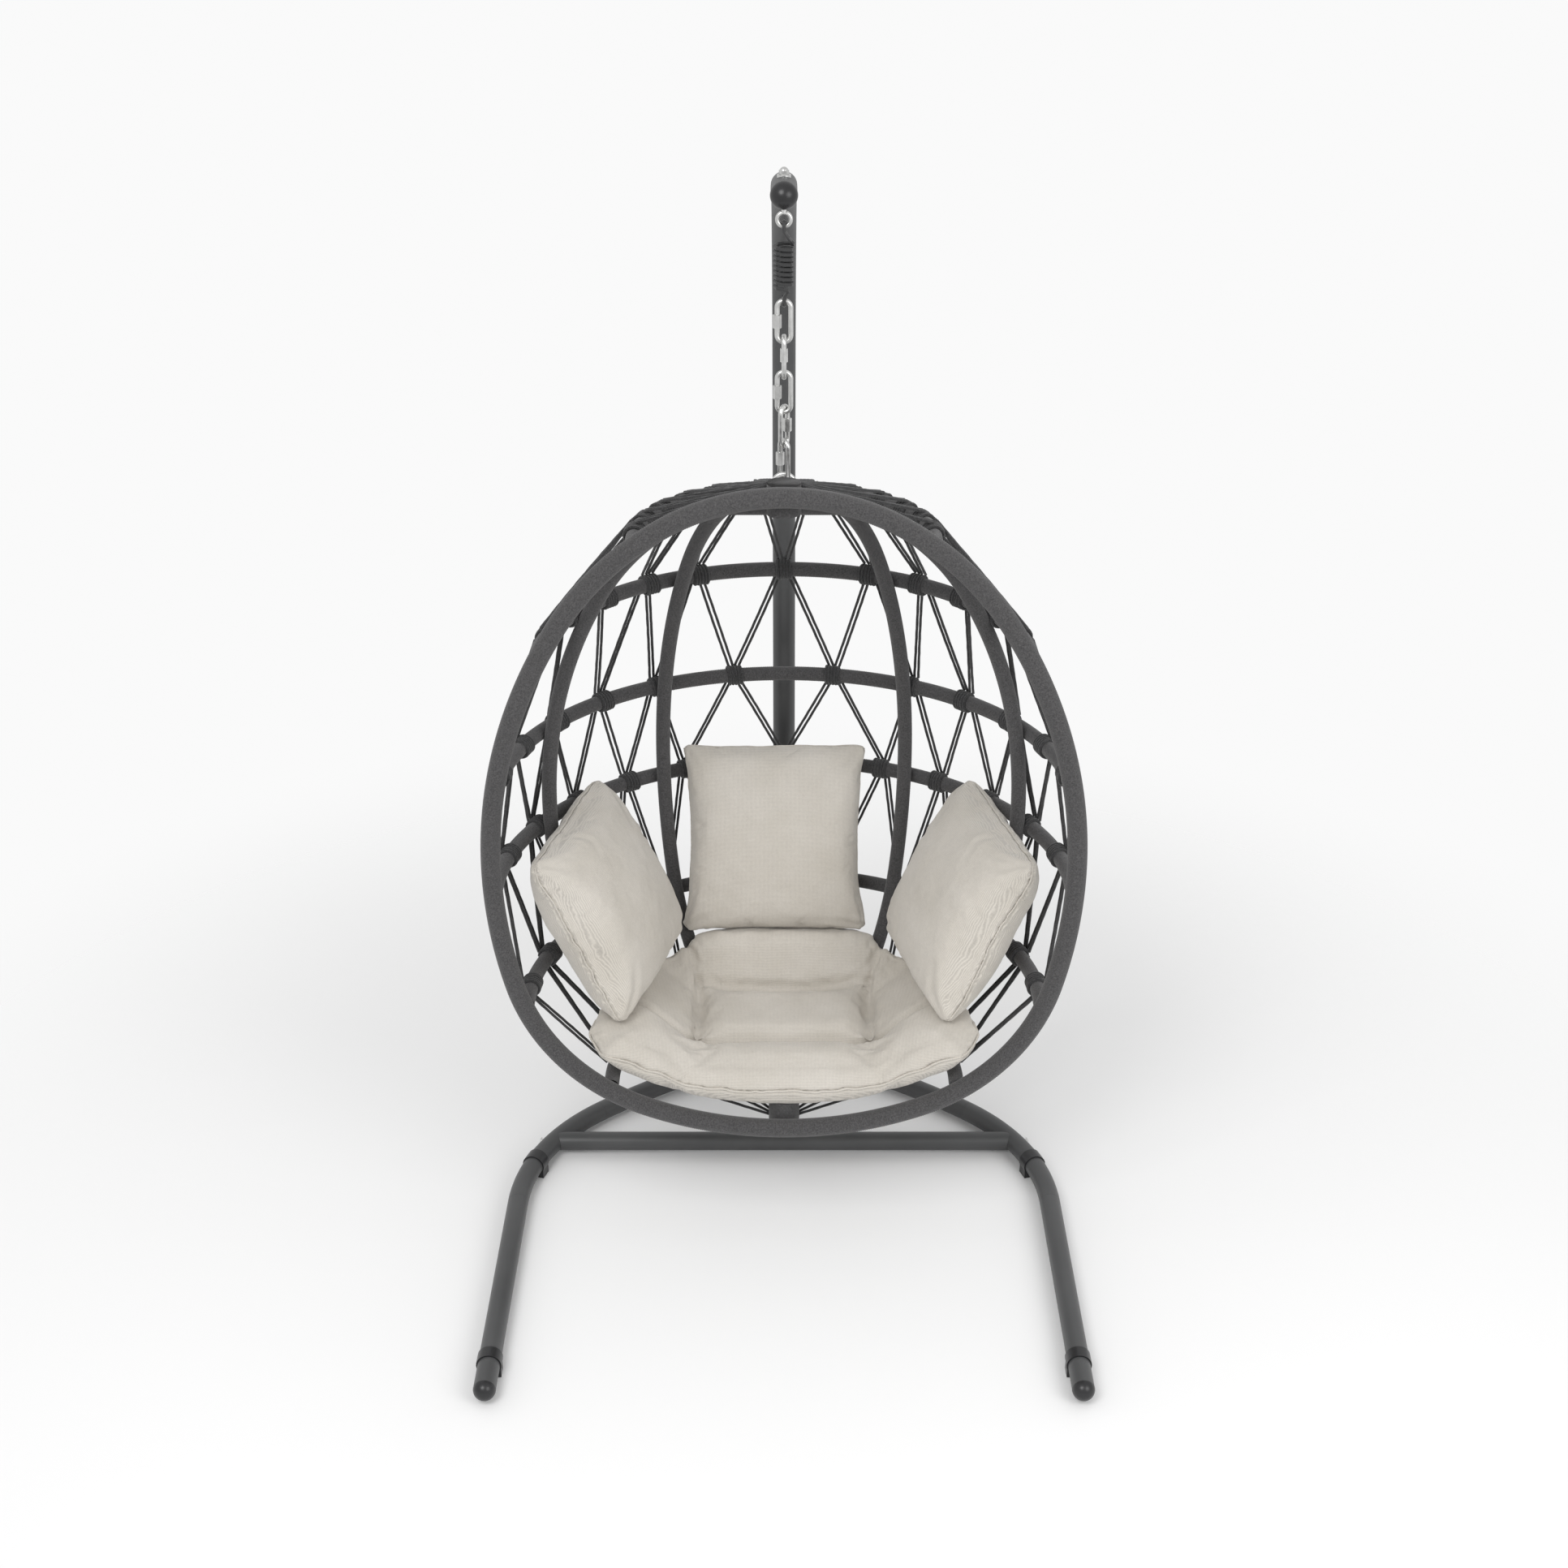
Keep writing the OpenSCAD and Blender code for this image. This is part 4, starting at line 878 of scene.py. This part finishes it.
# the seat: a quilted pad with a centre panel, front, side and back bolsters, and four tufts
seat = soft_copy("seat_cushion_cover", "seat_cushion")
inflate(seat, 3.0, 14, 0.010)
refine(seat)
TUFT_X, TUFT_FRONT, TUFT_BACK = 0.155, HANG_Y - 0.113, HANG_Y + 0.058
co, n = coordinates(seat), normals_of(seat)
front = smooth_step(-co[:, 1], 0.02, 0.085) * smooth_step(-n[:, 2] * 0.75 - n[:, 1] * 0.65, -0.25, 0.6)
back = smooth_step(co[:, 1], TUFT_BACK + 0.02, TUFT_BACK + 0.075) * smooth_step(n[:, 2], -0.1, 0.5)
swell(seat, 0.013 * front + 0.020 * back,
      pieces("rim_rope", "hoop_4_rope", "hoop_5_rope", "net_band_3_rope", "net_band_4_rope", "rib_inner_left_rope",
             "rib_inner_right_rope", "rib_outer_left_rope", "rib_outer_right_rope", "back_pillow_cover",
             "left_pillow_cover", "right_pillow_cover"))
unevenness(seat, 0.0022, 12.0, 5)
surface = coordinates(seat)


def seat_top(x, y):
    """Height of the seat's upper surface over a point of its plan."""
    d = np.hypot(surface[:, 0] - x, surface[:, 1] - y)
    near = d < 0.007
    return float(surface[near, 2].max()) if near.any() else float(surface[np.argmin(d), 2])


def over_seat(points, n=9):
    out = []
    for (x0, y0), (x1, y1) in zip(points[:-1], points[1:]):
        for k in range(n):
            x, y = x0 + (x1 - x0) * k / n, y0 + (y1 - y0) * k / n
            out.append((x, y, seat_top(x, y)))
    return out + [(*points[-1], seat_top(*points[-1]))]


def faces_up(co, n):
    return np.clip((n[:, 2] + 0.35) * 3.0, 0, 1)


square = [(-TUFT_X, TUFT_FRONT), (TUFT_X, TUFT_FRONT), (TUFT_X, TUFT_BACK), (-TUFT_X, TUFT_BACK),
          (-TUFT_X, TUFT_FRONT)]
lines = [(over_seat(square), 0.0100, 0.0160, 0.0, 0.0)]
for s in (-1, 1):
    to_side = [(s * TUFT_X, TUFT_FRONT), (s * 0.235, TUFT_FRONT + 0.006), (s * 0.322, TUFT_FRONT + 0.03)]
    to_back = [(s * TUFT_X, TUFT_BACK), (s * 0.190, TUFT_BACK + 0.055), (s * 0.214, TUFT_BACK + 0.092)]
    lines.append((over_seat(to_side), 0.0075, 0.0110, 0.0008, 0.35))
    lines.append((over_seat(to_back), 0.0070, 0.0100, 0.0008, 0.35))
groove(seat, lines, faces_up)
surface = coordinates(seat)
rng = np.random.default_rng(9)
tucks = []
for sx in (-1, 1):
    for y in (TUFT_FRONT, TUFT_BACK):
        x = sx * TUFT_X
        tucks.append(([(x, y, seat_top(x, y)), (x + 0.001, y, seat_top(x, y))], 0.012, 0.0075, 0.0, 0.0))
        for k in range(7):
            a = 2 * math.pi * (k + rng.uniform(-0.25, 0.25)) / 7
            far = rng.uniform(0.028, 0.052)
            tucks.append((over_seat([(x + 0.004 * math.cos(a), y + 0.004 * math.sin(a)),
                                     (x + far * math.cos(a), y + far * math.sin(a))], 4),
                          rng.uniform(0.0028, 0.0042), rng.uniform(0.0016, 0.0030), 0.0008, 1.0))
groove(seat, tucks, faces_up)
SEAT_CENTRE = np.array([0.0, AXIS_Y + 0.160, 0.45])
SEAT_AXES = np.array([1.0, 0, 0]), np.array([0, 1.0, 0])
ring = equator(coordinates(seat), SEAT_CENTRE, *SEAT_AXES, 320)
groove(seat, seam_puckers(ring, SEAT_CENTRE, 60, rng, 0.028, 0.0012))
ring = equator(coordinates(seat), SEAT_CENTRE, *SEAT_AXES, 320)
groove(seat, [(list(ring) + [ring[0]], *SEAM_GROOVE)])
finish_cushion(seat, (1.0, 0.0, 0.0), (0.0, 0.8, 0.6), "seat_cushion")
welt("seat_cushion_welt", ring, 0.0022)

# ---------------------------------------------------------------- floor and light
floor_mat, ft, fb = material("floor", (0.90, 0.90, 0.90), 1.0)
fb.inputs["Specular IOR Level"].default_value = 0.0
# the floor fades out into the backdrop away from the chair
away = node(ft, "ShaderNodeVectorMath", operation="LENGTH")
ft.links.new(object_space(ft), away.inputs[0])
fade = node(ft, "ShaderNodeMapRange", interpolation_type="SMOOTHSTEP")
fade.inputs["From Min"].default_value, fade.inputs["From Max"].default_value = 1.0, 2.3
ft.links.new(away.outputs["Value"], fade.inputs["Value"])
clear = node(ft, "ShaderNodeBsdfTransparent")
mixed = node(ft, "ShaderNodeMixShader")
ft.links.new(fade.outputs["Result"], mixed.inputs["Fac"])
ft.links.new(fb.outputs["BSDF"], mixed.inputs[1])
ft.links.new(clear.outputs["BSDF"], mixed.inputs[2])
ft.links.new(mixed.outputs["Shader"], ft.nodes["Material Output"].inputs["Surface"])
# the floor lies just under the feet
FLOOR_Z = -0.0006
floor = add_mesh("floor", [(-4, -4, FLOOR_Z), (4, -4, FLOOR_Z), (4, 4, FLOOR_Z), (-4, 4, FLOOR_Z)],
                 [(0, 1, 2, 3)], floor_mat, smooth=False)

world = bpy.data.worlds.new("studio")
bpy.context.scene.world = world
world.use_nodes = True
wt = world.node_tree
lit = wt.nodes["Background"]
lit.inputs["Color"].default_value = (1, 1, 1, 1)
lit.inputs["Strength"].default_value = 0.75
seen = node(wt, "ShaderNodeBackground")
seen.inputs["Color"].default_value = (0.955, 0.955, 0.955, 1)
seen.inputs["Strength"].default_value = 1.0
choose = node(wt, "ShaderNodeMixShader")
wt.links.new(node(wt, "ShaderNodeLightPath").outputs["Is Camera Ray"], choose.inputs["Fac"])
wt.links.new(lit.outputs["Background"], choose.inputs[1])
wt.links.new(seen.outputs["Background"], choose.inputs[2])
wt.links.new(choose.outputs["Shader"], wt.nodes["World Output"].inputs["Surface"])


def area(name, at, target, size, power):
    lamp = bpy.data.lights.new(name, "AREA")
    lamp.shape, lamp.size, lamp.energy = "DISK", size, power
    o = bpy.data.objects.new(name, lamp)
    bpy.context.scene.collection.objects.link(o)
    o.location = at
    o.rotation_euler = (Vector(target) - Vector(at)).to_track_quat("-Z", "Y").to_euler()


area("key", (-1.6, -3.2, 4.2), (0, 0, 0.9), 2.4, 90)
area("fill", (2.4, -2.6, 2.6), (0, 0, 0.9), 2.4, 45)

bpy.context.scene.view_settings.view_transform = "Standard"
